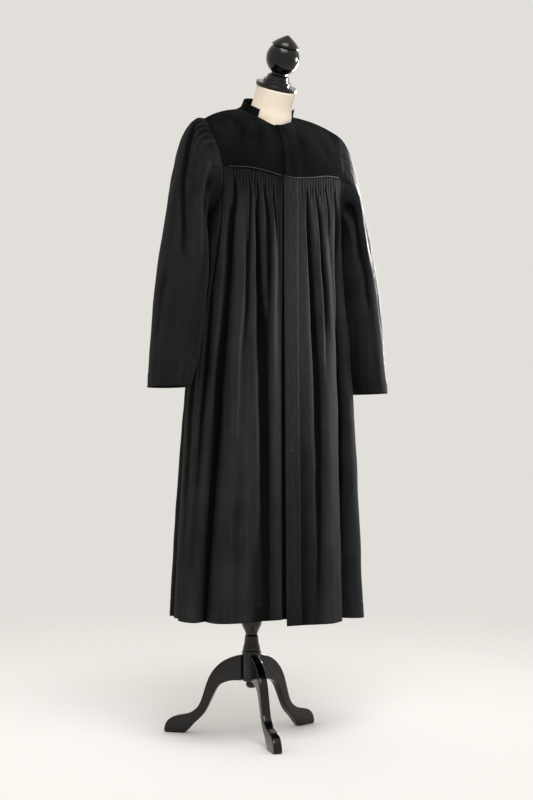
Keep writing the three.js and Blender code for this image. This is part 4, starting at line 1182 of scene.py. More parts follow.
@dataclass
class Panel:
    """One front or back of the gown: where it lies and how its top edge is gathered."""

    shape: GownShape
    side: int
    front: bool
    hem: float
    edge: float
    first: float
    gathered: tuple[float, float, int, int]
    lift: float = 0.0
    furrows: tuple[Furrow, ...] = ()
    underlap: float = 14.0
    pleat_depths: Curve = field(default_factory=lambda: Curve([
        (0, 0.35), (14, 0.45), (24, 0.7), (38, 0.55), (56, 0.25), (85, 0), (1100, 0),
    ]))

    @property
    def seam_length(self) -> float:
        """Return the cloth from the middle to the side seam at the yoke."""
        return 174.0 / self.shape.corner_share

    def pleat(self, a: Array) -> Array:
        """Return the zigzag of gathers at places across, between about -1 and 1."""
        start, end, count, seed = self.gathered
        k = np.arange(2 * count + 1)
        uneven = np.sin(k * 2.4 + seed) * 0.5 + np.sin(k * 1.1 + 2 * seed) * 0.5
        inner = (k > 0) & (k < 2 * count)
        places = mix(start, end, (k + np.where(inner, 0.22 * uneven, 0)) / (2 * count))
        heights = np.where(inner, np.where(k % 2, 1, -1) * (1 + 0.25 * uneven), 0)
        return np.where((a >= start) & (a <= end), zigzag(a, places, heights), 0)

    def top(self, a: Array) -> Array:
        """Return the top edge: the yoke seam up to its corner, the armhole beyond it."""
        corner = self.shape.corner_share
        x = self.side * a * 174.0 / corner
        seam = self.shape.under_yoke(x, self.front)
        turn = self.shape.corner_turn + (180 - self.shape.corner_turn) * np.clip(
            (a - corner) / (1 - corner), 0, 1
        ) ** 0.75
        hole = self.shape.armhole(turn if self.front else -turn, self.side)
        points = np.where((a <= corner)[:, None], seam, hole)
        points[:, 2] -= self.shape.seam_gap / 2
        return points

    def rows_down(self) -> Array:
        """Return the distances down from the yoke at which the cloth has a row of points."""
        hem = self.shape.tallest
        fine = spread(0, 70, 27)[:-1]
        body = spread(70, hem - 60, 106)[:-1]
        return np.concatenate([fine, body, spread(hem - 60, hem, 16)])

    def across(self) -> Array:
        """Return the places across at which the cloth has a column of points."""
        start, end, count, _ = self.gathered
        gathers = spread(start, end, count * 11)
        before = spread(self.first, start, 12)[:-1]
        after = spread(end, 1 - self.shape.seam_gap / 2 / self.seam_length, 44)[1:]
        return np.concatenate([before, gathers, after])

    def points(self, a: Array, drops: Array, out: float = 0.0) -> Array:
        """Return points of the panel.

        Args:
            a: Places across, 0 in the middle and 1 at the side seam.
            drops: Distances down from the yoke.
            out: How far the points lie out of the cloth.

        Returns:
            Rows by columns by 3.
        """
        top = self.top(a)
        top_girth = self.shape.girth(top[:, 2], self.front)
        share = (a * self.seam_length - self.edge) / (self.seam_length - self.edge)
        top_share = (self.edge + (top_girth - self.edge) * share) / top_girth
        turn = (lambda s: self.side * s) if self.front else (lambda s: 2 - self.side * s)
        none = np.zeros(len(a))
        start = self.shape.hung(turn(top_share), top[:, 2], none)
        lift = self.lift * (1 - smooth((a * self.seam_length - self.underlap - 2) / 75))
        zigzag = self.pleat(a)
        rows = []
        for drop in drops:
            z = mix(top[:, 2], self.hem, drop / self.shape.tallest)
            girth = self.shape.girth(z, self.front)
            u = turn((self.edge + (girth - self.edge) * share) / girth)
            shade = 1 + 0.35 * ripple(a * 9 * self.side, drop / 160 + none, 7, 4)
            extra = zigzag * self.pleat_depths.at(drop) * shade + lift + out + self.surface(a, drop)
            hung = self.shape.hung(u, z, extra)
            rows.append(hung + (top - start) * (1 - smooth(drop / 260)))
        return np.stack(rows)

    def surface(self, a: Array, drop: float) -> Array:
        """Return the small relief of the sewing: the gathering rows' puckers and the hem's fold."""
        x = a * self.seam_length
        relief = np.zeros(len(a))
        for level in (7.0, 15.0, 23.0):
            relief -= 0.35 * bump(drop - level, 1.6) * (1 + 0.5 * np.sin(x * 1.7 + level))
        hem = self.shape.tallest - self.shape.hem_fold
        relief -= 0.7 * bump(drop - hem, 2.2) * (1 + 0.4 * np.sin(x * 0.9))
        relief += 0.35 * smooth((drop - hem) / 3) * (1 + 0.6 * ripple(x / 40, x * 0, 5, 4))
        relief += 0.8 * ripple(x / 95, drop / 260 + x * 0, 11 + self.side, 6) * smooth(
            (drop - 60) / 200
        ) * smooth((x - 20) / 50)
        for furrow in self.furrows:
            relief -= furrow.cut(x, drop, self.side if self.front else 1)
        return relief

    def sheet(self) -> Sheet:
        """Return the panel as a sheet of cloth."""
        return Sheet(self.points(self.across(), self.rows_down()), self.shape.cloth)


@dataclass
class Gown:
    """The gown's two fronts, its back and the fly strip, with their gathering rows and hems sewn."""

    loom: Loom
    shape: GownShape
    wool: Wool = Wool()
    thread: Thread = Thread("black thread", (0.006, 0.006, 0.0065))
    placket_left: float = -18.0
    placket_width: float = 40.0
    placket_proud: float = 4.5
    placket_thickness: float = 1.6

    def build(self) -> None:
        """Make every piece of the gown below the yoke."""
        corner = self.shape.corner_share
        end = corner - 0.12 * 0.58
        right = Panel(self.shape, -1, True, self.shape.hem_right, -14.0, -14.0 / 252.2, (
            0.085, end, 18, 1
        ), furrows=RIGHT_FURROWS)
        left = Panel(self.shape, 1, True, self.shape.hem_left, -17.0, -17.0 / 252.2, (
            0.105, end, 15, 2
        ), 2.4, LEFT_FURROWS)
        self.front("front_right", right, (0.39, 1.10, 0.37))
        self.front("front_left", left, (0.44, 1.12, 0.40))
        self.back(end)
        self.placket(left)

    def front(self, node: str, panel: Panel, cut: tuple[float, float, float]) -> None:
        """Make one front with its sewing.

        Args:
            node: The solid it stands for.
            panel: Where it lies.
            cut: Width and length of its cut, and its area, in metres.
        """
        sheet = panel.sheet()
        piece = sheet.weave(self.loom, f"cloth_{node}")
        self.loom.keep(piece, self.wool, "wool", [node])
        places = panel.across()
        start, end = panel.gathered[:2]
        band = np.flatnonzero((places >= start - 0.01) & (places <= end + 0.02)).astype(float)
        sewn = self.sew(node, sheet, panel.rows_down(), band, 3)
        sheet.tell(node)
        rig.sheet(
            piece, flat=cut[:2], held="gathered", rests_on=["yoke_" + node], with_pieces=sewn, area=cut[2]
        )

    def sew(self, node: str, sheet: Sheet, drops: Array, band: Array, seed: int) -> list[bpy.types.Object]:
        """Sew a sheet's gathering rows and its hem.

        Args:
            node: The solid that the sheet stands for.
            sheet: The cloth.
            drops: How far down from the yoke each row of it lies.
            band: The columns that are gathered.
            seed: Which unevenness the gathering stitches have; the hem has the next.

        Returns:
            The two pieces of sewing.
        """
        count = np.arange(len(drops))
        rows = [sheet.line(np.interp(level, drops, count), band) for level in (7, 15, 23)]
        gathers = Stitch(2.0, 1.0, 0.5).sew(self.loom, f"gathering_stitches_{node}", rows, seed)
        low = np.interp(self.shape.tallest - self.shape.hem_fold, drops, count)
        hem = [sheet.line(low, np.arange(1.0, sheet.points.shape[1] - 1))]
        turned = Stitch(2.8, 1.6, 0.5).sew(self.loom, f"hem_stitches_{node}", hem, seed + 1)
        return [self.loom.keep(piece, self.thread, "wool") for piece in (gathers, turned)]

    def back(self, end: float) -> None:
        """Make the back in one piece, gathered into the back yoke.

        Args:
            end: The last gather before the armhole, as a share across.
        """
        shape = self.shape
        halves = []
        for side, furrows in ((1, BACK_LEFT_FURROWS), (-1, BACK_RIGHT_FURROWS)):
            hem = (shape.hem_back_left + shape.hem_back_right) / 2
            halves.append(Panel(shape, side, False, hem, 0.0, 0.0, (0.0, end, 20, 3), furrows=furrows))
        drops = halves[0].rows_down()
        places = np.concatenate([spread(0, end, 20 * 6), spread(end, 1 - 0.35 / 252.2, 22)[1:]])
        sheets = []
        for panel, side in zip(halves, (1, -1)):
            slope = (shape.hem_back_left - shape.hem_back_right) / 2 * side
            grid = BackHalf(**{**vars(panel), "slope": slope}).points(places, drops)
            sheets.append(grid)
        points = np.concatenate([sheets[0][:, ::-1], sheets[1][:, 1:]], axis=1)
        sheet = Sheet(points, shape.cloth)
        piece = sheet.weave(self.loom, "cloth_back")
        self.loom.keep(piece, self.wool, "wool", ["back"])
        band = np.arange(22.0, points.shape[1] - 22)
        sewn = self.sew("back", sheet, drops, band, 5)
        sheet.tell("back")
        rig.sheet(
            piece, flat=(0.80, 1.11), held="gathered", rests_on=["yoke_back"], with_pieces=sewn, area=0.70
        )

    def placket(self, panel: Panel) -> None:
        """Make the fly strip down the wearer's left front, with its edge stitching and bar tacks.

        Args:
            panel: The front it lies on.
        """
        shape = self.shape
        across = spread(0, 1, 26)
        drops = panel.rows_down()
        x = self.placket_left + self.placket_width * across
        edge = panel.edge
        rows = []
        for drop in drops:
            z = mix(1402.0, shape.hem_left, drop / shape.tallest)
            narrower = (panel.seam_length - edge) / (float(shape.girth(np.array([z]), True)[0]) - edge)
            a = (edge + (x - edge) * narrower) / panel.seam_length
            rim = np.minimum(across, 1 - across) * self.placket_width
            curl = -0.7 * (1 - smooth(rim / 2.2)) + 0.35 * ripple(across * 1.2, drop / 90 + across * 0, 21, 4)
            curl -= 0.45 * bump(rim - 4.2, 0.9)
            rows.append(self.strip_row(panel, a, drop, curl))
        sheet = Sheet(np.stack(rows), self.placket_thickness)
        piece = sheet.weave(self.loom, "cloth_fly_placket")
        self.loom.keep(piece, self.wool, "wool", ["fly_placket"])
        down = np.arange(len(drops), dtype=float)
        lines = [sheet.line(down[1:-1], column) for column in (2.7, 23.3)]
        edges = Stitch(2.4, 0.9, 0.5).sew(self.loom, "edge_stitches_fly_placket", lines, 7)
        tacks = [self.tack(sheet, drops, level, k) for level in (598.0, 668.0, 741.0) for k in range(5)]
        bars = Stitch(5.4, 0.3, 0.75).sew(self.loom, "bar_tacks_fly_placket", tacks, 8)
        sewn = [self.loom.keep(p, self.thread, "wool") for p in (edges, bars)]
        flat = (self.placket_width * MM, 1.102)
        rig.sheet(piece, flat=flat, held="hung", rests_on=["cloth_front_left"], with_pieces=sewn)

    def strip_row(self, panel: Panel, a: Array, drop: float, curl: Array) -> Array:
        """Return one row of the strip, without the gathers of the cloth below it."""
        plain = Panel(**{**vars(panel), "gathered": (0.9, 0.95, 1, 1), "lift": 0.0, "furrows": ()})
        return plain.points(a, np.array([drop]), out=self.placket_proud)[0] + np.array([0, -1.0, 0]) * curl[
            :, None
        ]

    def tack(self, sheet: Sheet, drops: Array, level: float, k: int) -> tuple[Array, Array]:
        """Return one thread of a bar tack across the strip."""
        row = np.interp(level + 1.1 * k, drops, np.arange(len(drops)))
        return sheet.line(row, np.linspace(7.0, 17.0, 4), 0.15)


@dataclass
class BackHalf(Panel):
    """Half of the back, whose hem rises from the wearer's left to the right."""

    slope: float = 0.0

    def points(self, a: Array, drops: Array, out: float = 0.0) -> Array:
        """Return points of the half, the hem rising evenly across it.

        Args:
            a: Places across, 0 in the middle and 1 at the side seam.
            drops: Distances down from the yoke.
            out: How far the points lie out of the cloth.

        Returns:
            Rows by columns by 3.
        """
        level = self.hem
        self.hem = level + self.slope * a
        made = Panel.points(self, a, drops, out)
        self.hem = level
        return made


@dataclass
class YokeShape:
    """The velvet yoke's surface between the neckline and the seam under it."""

    shape: GownShape
    angles: Curve = field(default_factory=lambda: Curve([
        (0, 0), (0.11, 15.3), (0.4, 26), (1, 41), (2, 90), (3, 139), (4, 180),
    ]))
    swell: Curve = field(default_factory=lambda: Curve([
        (0, 4, 1), (1, 14, 8), (1.5, 8, 10), (2, 0, 9), (2.5, -9, 10), (3, -16, 6), (4, -8, 1),
    ]))

    def neckline(self, angle: Array, side: Array | int) -> Array:
        """Return points of the neckline, by the angle from the front."""
        pit = bump(side * angle + 13, 26)
        reach = 64 + 4.5 * pit
        y = -reach * np.cos(np.radians(angle))
        x = side * reach * np.sin(np.radians(angle))
        return np.stack([x, y, 1576 + 0.523 * y - 8.5 * pit], axis=-1)

    def edge(self, c: Array, side: int) -> Array:
        """Return points of the yoke's outer edge: the front seam, the armhole, the back seam."""
        front = self.shape.under_yoke(side * np.minimum(c, 1) * 174.0, True)
        hole = self.shape.armhole(94.0 * (2 - np.clip(c, 1, 3)), side)
        back = self.shape.under_yoke(side * (4 - np.maximum(c, 3)) * 174.0, False)
        c = c[:, None]
        return np.where(c <= 1, front, np.where(c <= 3, hole, back))

    def at(self, c: Array, q: float | Array, side: int) -> Array:
        """Return points of the yoke.

        Args:
            c: Places round it: 0 centre front, 1 corner, 2 shoulder, 3 back corner, 4 centre back.
            q: Share of the way from the neckline to the edge.
            side: 1 for the wearer's left.

        Returns:
            Points by 3.
        """
        angle = np.sign(c) * self.angles.at(np.abs(c))
        p = mix(self.neckline(angle, side), self.edge(c, side), np.asarray(q)[..., None] if np.ndim(q) else q)
        rise = 4 * q * (1 - q)
        p[:, 1] -= self.swell.at(np.abs(c), 1) * rise
        p[:, 2] += self.swell.at(np.abs(c), 2) * rise
        return p

    def outward(self, c: Array, q: float, side: int) -> Array:
        """Return the outward directions on the yoke."""
        step = np.where(c < 3.95, 0.05, -0.05)
        turn = np.where(c < 3.95, side, -side)[:, None]
        across = (self.at(c + step, q, side) - self.at(c, q, side)) * turn
        down = self.at(c, min(1.0, q + 0.05), side) - self.at(c, max(0.0, q - 0.05), side)
        return unit(np.cross(down, across))


@dataclass
class Yoke:
    """The velvet yoke in three pieces, the standing collar and the piping along the lower edge."""

    loom: Loom
    surface: YokeShape
    velvet: Velvet = Velvet()
    satin: Satin = Satin()
    thread: Thread = Thread("black thread", (0.006, 0.006, 0.0065))
    thickness: float = 2.2
    piping_radius: float = 1.3

    def build(self) -> None:
        """Make the yoke's pieces."""
        right = self.panel("yoke_front_right", -1, self.front_places(-14.0 / 174), 0.0, (0.20, 0.26, 0.034))
        left = self.panel("yoke_front_left", 1, self.front_places(-18.0 / 174), 4.2, (0.20, 0.26, 0.034))
        back = self.back()
        for piece in (right, left, back):
            log.info("%s declared", piece.name)
        self.collar()
        self.piping("piping_front_right", np.linspace(-160, -22, 90), True, 0.0)
        self.piping("piping_front_left", np.linspace(-18, 160, 110), True, 3.0)
        self.piping("piping_back", np.linspace(160, -160, 180), False, 0.0)

    def front_places(self, first: float) -> Array:
        """Return the places across a front, from its edge to the shoulder seam."""
        return np.concatenate([spread(first, 0.12, 14)[:-1], spread(0.12, 2.0, 74)])

    def nap(self, c: Array, q: float, side: int) -> Array:
        """Return the soft unevenness of the velvet, never under the plain surface."""
        uneven = 0.3 * ripple(c * 1.4, q * 1.8 + c * 0, 31 + side, 5) + 0.05 * ripple(
            c * 4, q * 2.5 + c * 0, 33 + side, 4
        )
        relief = 0.75 + 0.6 * uneven
        edges = smooth(q / 0.06) * smooth((1 - q) / 0.04)
        return np.maximum(relief, 0) * edges

    def rows(self, c: Array, side: int, lift: float, seam: Array) -> Array:
        """Return the grid of a yoke piece.

        Args:
            c: Places across.
            side: 1 for the wearer's left.
            lift: How far the front edge lies over the other front.
            seam: How far each column is moved back or forward at the shoulder seam.

        Returns:
            Rows by columns by 3.
        """
        grid = []
        for q in spread(0, 1, 56):
            p = self.surface.at(c, q, side)
            p += self.surface.outward(np.clip(c, 0.02, 4), q, side) * self.nap(c, q, side)[:, None]
            p[:, 2] += np.where((c <= 1) | (c >= 3), 0.35 * smooth((q - 0.9) / 0.1), 0)
            p[:, 1] += seam
            raised = lift * (1 - smooth((p[:, 0] - 16) / 30))
            if lift:
                p[:, 0] += 9 * (4 * q * (1 - q)) ** 0.8 * (1 - smooth((p[:, 0] + 24) / 46))
            p[:, 1] -= raised * 0.96
            p[:, 2] += raised * 0.28
            grid.append(p)
        return np.stack(grid)

    def panel(
        self, node: str, side: int, c: Array, lift: float, cut: tuple[float, float, float]
    ) -> bpy.types.Object:
        """Make one front of the yoke.

        Args:
            node: The solid it stands for.
            side: 1 for the wearer's left.
            c: Places across.
            lift: How far its front edge lies over the other front.
            cut: Width and length of its cut, and its area, in metres.

        Returns:
            The piece.
        """
        seam = -0.8 * smooth((c - 1.8) / 0.2)
        sheet = Sheet(self.rows(c, side, lift if side > 0 else 0.0, seam), self.thickness)
        return self.velvet_piece(node, sheet, cut)

    def velvet_piece(self, node: str, sheet: Sheet, cut: tuple[float, float, float]) -> bpy.types.Object:
        """Weave and declare a velvet piece with rounded edges."""
        piece = sheet.weave(self.loom, f"velvet_{node}")
        round_edges(piece, 0.7)
        self.loom.keep(piece, self.velvet, "velvet", [node])
        sheet.tell(node)
        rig.sheet(piece, flat=cut[:2], held="draped", rests_on=["jersey_form_torso"], area=cut[2])
        return piece

    def back(self) -> bpy.types.Object:
        """Make the back of the yoke in one piece."""
        c = spread(2.0, 4.0, 64)
        seam = 0.8 * (1 - smooth((c - 2.0) / 0.2))
        left, right = self.rows(c, 1, 0.0, seam), self.rows(c, -1, 0.0, seam)
        sheet = Sheet(np.concatenate([left, right[:, -2::-1]], axis=1), self.thickness)
        return self.velvet_piece("yoke_back", sheet, (0.44, 0.235, 0.084))

    def collar(self) -> None:
        """Make the low standing collar round the back of the neck."""
        angles = spread(52, 308, 150)
        folded = np.where(angles > 180, 360 - angles, angles)
        side = np.where(angles > 180, -1, 1)
        base = self.surface.neckline(folded, side)
        height = 17.8 + 11.0 * bump(angles - 52, 20)
        inward = unit(base * np.array([-1, -1, 0.0])) * 0.2
        rise = unit(np.array([0, -math.sin(math.radians(27)), math.cos(math.radians(27))]) + inward)
        outward = -unit(base * np.array([-1, -1, 0.0]))
        grid = []
        for share in spread(1, 0, 14):
            roll = 0.5 * smooth((share - 0.6) / 0.4) + 0.35 * ripple(
                angles / 70, share + angles * 0, 61, 4
            ) * share
            roll = roll + 3.5 * bump(angles - 52, 34) * share
            grid.append(base + rise * (0.7 + share * (height + 1.3))[:, None] + outward * roll[:, None])
        sheet = Sheet(np.stack(grid), self.thickness)
        piece = sheet.weave(self.loom, "velvet_collar")
        round_edges(piece, 0.8)
        self.loom.keep(piece, self.velvet, "velvet", ["collar"])
        sheet.tell("collar")
        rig.sheet(piece, flat=(0.29, 0.02), held="stretched", rests_on=["velvet_yoke_back"])

    def piping(self, node: str, xs: Array, front: bool, lift: float) -> None:
        """Lay the satin piping along a seam.

        Args:
            node: The solid it stands for.
            xs: Distances from the middle.
            front: Whether it lies on the front seam.
            lift: How far the overlapping end is lifted.
        """
        away = -1 if front else 1
        seam = self.surface.shape.under_yoke
        path = seam(xs, front)
        way = seam(xs + 1, front) - seam(xs - 1, front)
        out = unit(np.stack([-way[:, 1], way[:, 0], xs * 0], axis=1)) * away
        path = path + out * (self.thickness / 2 + 0.7 + self.piping_radius)
        path[:, 1] += away * lift * (1 - smooth((xs - 16) / 30))
        path[:, 2] += 1.3 + 0.25 * ripple(xs / 60, xs * 0, 71, 3)
        piece = tube(self.loom, f"satin_{node}", path, self.piping_radius, 10, 0.06)
        self.loom.keep(piece, self.satin, "satin", [node])


def tube(loom: Loom, name: str, path: Array, radius: float, sides: int, uneven: float) -> bpy.types.Object:
    """Make a closed cord along a path, with cloth coordinates round and along it.

    Args:
        loom: Where pieces are made.
        name: The piece's name.
        path: Points along its middle.
        radius: Its radius.
        sides: Faces round it.
        uneven: How much its thickness varies, as a share.

    Returns:
        The object.
    """
    way = unit(np.gradient(path, axis=0))
    out = unit(np.stack([way[:, 1], -way[:, 0], way[:, 0] * 0], axis=1))
    up = np.cross(way, out)
    run = np.concatenate([[0], np.linalg.norm(np.diff(path, axis=0), axis=1).cumsum()])
    angle = np.linspace(0, 2 * math.pi, sides, endpoint=False)
    size = radius * (1 + uneven * ripple(run[:, None] / 9, angle[None, :] / 6, 5, 4))
    size[[0, -1]] *= 0.55
    ring = out[:, None] * np.cos(angle)[None, :, None] + up[:, None] * np.sin(angle)[None, :, None]
    points = path[:, None] + ring * size[..., None]
    uv = np.stack(np.broadcast_arrays(angle[None, :] * radius, run[:, None]), axis=2)
    rows, count = points.shape[:2]
    faces = [
        (r * count + k, r * count + (k + 1) % count, (r + 1) * count + (k + 1) % count, (r + 1) * count + k)
        for r in range(rows - 1) for k in range(count)
    ]
    faces.append(tuple(reversed(range(count))))
    faces.append(tuple((rows - 1) * count + k for k in range(count)))
    piece = loom.mesh(name, points.reshape(-1, 3), faces, uv.reshape(-1, 2))
    turn_out(piece)
    return piece


def round_edges(piece: bpy.types.Object, width: float) -> None:
    """Round a cloth's cut edges with a small live bevel.

    Args:
        piece: The object, with its thickness modifier.
        width: The bevel's width in millimetres.
    """
    edge = piece.modifiers.new("rounded edge", "BEVEL")
    edge.width, edge.segments = width * MM, 2
    edge.limit_method, edge.angle_limit = "ANGLE", math.radians(50)
    edge.use_clamp_overlap = True


@dataclass
class Sleeves:
    """The two full sleeves, gathered into the armholes, and the small squares at the yoke's corners."""

    loom: Loom
    shape: GownShape
    wool: Wool = Wool()
    thread: Thread = Thread("black thread", (0.006, 0.006, 0.0065))
    gathers: int = 13
    head_reach: float = 66.0
    head_rings: int = 4
    ring_step: float = 58.0
    degree_width: float = 1.6
    rings: Curve = field(default_factory=lambda: Curve([
        (0, 197, 1533, 178, 1308, -18, 60, 86, 14, 18, 1), (1, 211, 1529, 184, 1303, -17, 65, 85, 9, 17, 1),
        (2, 227, 1514, 190, 1299, -15, 71, 84, 4, 14, 1), (3, 244, 1480, 195, 1292, -13, 75, 82, 1, 10, 1),
        (4, 258, 1420, 198, 1281, -11, 78, 81, 0, 5, 0.8), (5, 269, 1345, 198, 1262, -9, 81, 81, 0, 1, 0.5),
        (6, 283, 1255, 196, 1204, -9, 89, 87, 0, 0, 0.2), (7, 297, 1174, 198, 1146, -9, 95, 93, 0, 0, 0),
        (8, 309, 1092, 204, 1085, -10, 98, 98, 0, 0, 0), (9, 318, 1010, 213, 1005, -12, 93, 94, 0, 0, 0),
        (10, 326, 935, 229, 930, -15, 85, 86, 0, 0, 0), (11, 331, 883, 246, 882, -17, 80, 80, 0, 0, 0),
    ]))
    head_pleats: Curve = field(default_factory=lambda: Curve([
        (0, 1.2), (0.8, 1.3), (1.5, 0.9), (2.4, 0.3), (3.2, 0), (11, 0),
    ]))
    creases: tuple[tuple[float, float, float, float], ...] = (
        (108, 98, -2, 14), (18, 2, -2, 11), (-52, -40, -7, 14), (-104, -92, -8, 15),
    )
    ease: Curve = field(default_factory=lambda: Curve([
        (0, 3, 1, -4, 0), (1, 7, 2, -5, 0), (2, 6, 2, -2, 0), (3, 2, 1, 4, 0), (4, 0, 0, 6.5, 0),
        (5, 1, 0, 8, 0),
        (6, 3, 0, 8, 0), (7, 1, 0, 3, 0), (8, 0, 0, 0, 0), (11, 0, 0, 0, 0),
    ]))
    dents: dict[int, tuple[Dent, ...]] = field(default_factory=lambda: {
        -1: (
            Dent((22, 1.8), (46, 6.8), -6.5, 22), Dent((104, 1.6), (108, 5.2), -10.0, 30),
            Dent((-4, 0.9), (-8, 2.6), -2.0, 5),
        ),
        1: (
            Dent((118, 1.6), (106, 6.6), -6.5, 15), Dent((96, 2.4), (84, 6.8), 4.0, 9), Dent(
                (134, 2.0), (130, 5.0), 3.5, 7
            ),
            Dent((-14, 0.9), (-10, 3.0), -4.5, 8), Dent((56, 4.5), (64, 8.5), -5.0, 13),
            Dent((96, 5.0), (104, 8.0), -4.0, 12),
        ),
    })

    def build(self) -> None:
        """Make both sleeves and both corner squares."""
        for side, name in ((-1, "right"), (1, "left")):
            self.sleeve(side, name)
            self.patch(side, name)

    def at(self, degrees: Array, s: Array | float, side: int, pleat: Array | float = 0.0) -> Array:
        """Return points of a sleeve.

        Args:
            degrees: Places round the arm, 0 outside and positive to the front.
            s: Places down it, 0 at the armhole and 11 at the cuff.
            side: 1 for the wearer's left.
            pleat: The gather at each place, about -1 to 1.

        Returns:
            Points by 3.
        """
        s = np.asarray(s)
        out_x, out_z, in_x, in_z, mid_y, front, behind, saddle, lean, fall = (
            self.rings.at(s, k) for k in range(1, 11)
        )
        c, n = np.cos(np.radians(degrees)), np.sin(np.radians(degrees))
        x = (out_x + in_x) / 2 + (out_x - in_x) / 2 * c - saddle * n * n
        straight = np.where(c > 0, 1 - c, np.abs(n))
        reach = mix(np.abs(n), straight, fall * np.where(n > 0, 1, 0.1))
        y = mid_y - lean * c - np.where(n > 0, front, -behind) * reach
        z = (out_z + in_z) / 2 + (out_z - in_z) / 2 * c
        down = np.clip((s - 2) / 9, 0, 1)
        out = pleat * self.head_pleats.at(s)
        for k, (top, cuff, depth, width) in enumerate(self.creases):
            sway = 3.5 * ripple(s / 5.5, degrees * 0, 50 + 2 * k + side, 3)
            away = (degrees - mix(top, cuff, down) - sway + 540) % 360 - 180
            out = out + depth * bump(away, width) * smooth((s - 3) / 4) * (
                1 - 0.45 * smooth((s - 8) / 3)
            )
        for dent in self.dents[side]:
            out = out + self.dented(dent, degrees, s)
        ease, rise_up = (self.ease.at(s, k + (0 if side < 0 else 2)) for k in (1, 2))
        outer = smooth((c + 0.1) / 0.9)
        out = out + 0.9 * ripple(degrees / 75, s / 2.6 + degrees * 0, 81 + side, 6) * smooth(
            (s - 1) / 3
        )
        swing = smooth((s - 4) / 7) if side > 0 else 0.0
        rise = out * np.where(s < self.head_rings, 0.35, 0) * c
        return np.stack([side * (
            x + out * c + 5 * swing + ease * outer
        ), y - out * n, z + rise - 6 * swing + rise_up * outer], axis=-1)

    def dented(self, dent: Dent, degrees: Array, s: Array | float) -> Array:
        """Return one short trough or ridge: places are (degrees, s), widths in mm."""
        a = np.array([0.0, dent.start[1] * self.ring_step])
        b = np.array([(dent.end[0] - dent.start[0]) * self.degree_width, dent.end[1] * self.ring_step])
        way = b - a
        reach = float(np.hypot(*way))
        way = way / reach
        x = ((degrees - dent.start[0] + 540) % 360 - 180) * self.degree_width
        y = np.asarray(s) * self.ring_step - a[1]
        along = (x * way[0] + y * way[1]) / reach
        off = -x * way[1] + y * way[0] + 0.15 * dent.width * np.sin(3 * math.pi * along)
        return dent.depth * smooth((along + 0.15) / 0.35) * smooth((1.15 - along) / 0.35) * bump(
            off, dent.width
        )

    def pleat(self, degrees: Array, side: int) -> Array:
        """Return the gathers at the head of a sleeve."""
        steps = 2 * self.gathers
        k = np.arange(steps + 1)
        uneven = 0.2 * np.sin(k * 2.1 + side)
        inner = (k > 0) & (k < steps)
        places = mix(-self.head_reach, self.head_reach, (k + np.where(inner, uneven, 0)) / steps)
        heights = np.where(inner, np.where(k % 2, 1, -1) * (0.62 + 1.9 * uneven), 0)
        return np.where(np.abs(degrees) <= self.head_reach, zigzag(degrees, places, heights), 0)

    def sleeve(self, side: int, name: str) -> None:
        """Make one sleeve with its hem and its gathers sewn.

        Args:
            side: 1 for the wearer's left.
            name: The side's name.
        """
        degrees = np.concatenate([
            spread(-self.head_reach, self.head_reach, 26 * 7)[:-1], spread(
                self.head_reach, 360 - self.head_reach, 84
            )[:-1],
        ])
        pleat = self.pleat(degrees, side)
        down = np.concatenate([spread(0, 2, 20)[:-1], spread(2, 10.2, 70)[:-1], spread(10.2, 11, 14)])
        gap = 0.7 * np.where(np.abs(degrees - 180) < 90, 2.3, 1.9)
        seam = self.shape.armhole(np.where(degrees > 180, degrees - 360, degrees), side)
        seam[:, 0] += side * gap
        seam[:, 2] += -0.2 + pleat * 0.65 * np.cos(np.radians(degrees))
        start = self.at(degrees, 0.0, side, pleat)
        grid = []
        for s in down:
            row = self.at(degrees, np.full(len(degrees), s), side, pleat)
            row += (seam - start) * (1 - smooth(s / 1.0))
            grid.append(row)
        points = np.stack(grid)
        sheet = Sheet(points, self.shape.cloth, closed=True)
        drop = np.linalg.norm(np.diff(points, axis=0), axis=2).mean(axis=1)[::-1].cumsum()[::-1]
        to_cuff = np.concatenate([drop, [0]])
        dip = -0.7 * bump(to_cuff - 37, 2.2) + 0.35 * smooth((37 - to_cuff) / 3)
        sheet.points = points + sheet.outward * dip[:, None, None]
        piece = sheet.weave(self.loom, f"cloth_sleeve_{name}")
        self.loom.keep(piece, self.wool, "wool", [f"sleeve_{name}"])
        around = np.append(np.arange(len(degrees), dtype=float), 0.0)
        hem_row = np.interp(-37, -to_cuff, np.arange(len(down)))
        head = np.arange(4.0, 26 * 7 - 4)
        lines = [sheet.line(np.full(len(around), hem_row), around)]
        hem = Stitch(2.8, 1.6, 0.5).sew(self.loom, f"hem_stitches_sleeve_{name}", lines, 9)
        rows = [sheet.line(np.full(len(head), row), head) for row in (2.2, 4.2)]
        gathered = Stitch(2.0, 1.0, 0.5).sew(self.loom, f"gathering_stitches_sleeve_{name}", rows, 10)
        sewn = [self.loom.keep(p, self.thread, "wool") for p in (hem, gathered)]
        sheet.tell(f"sleeve_{name}")
        rests = [f"velvet_yoke_front_{name}"]
        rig.sheet(piece, flat=(0.42, 0.69), held="gathered", rests_on=rests, with_pieces=sewn, area=0.25)

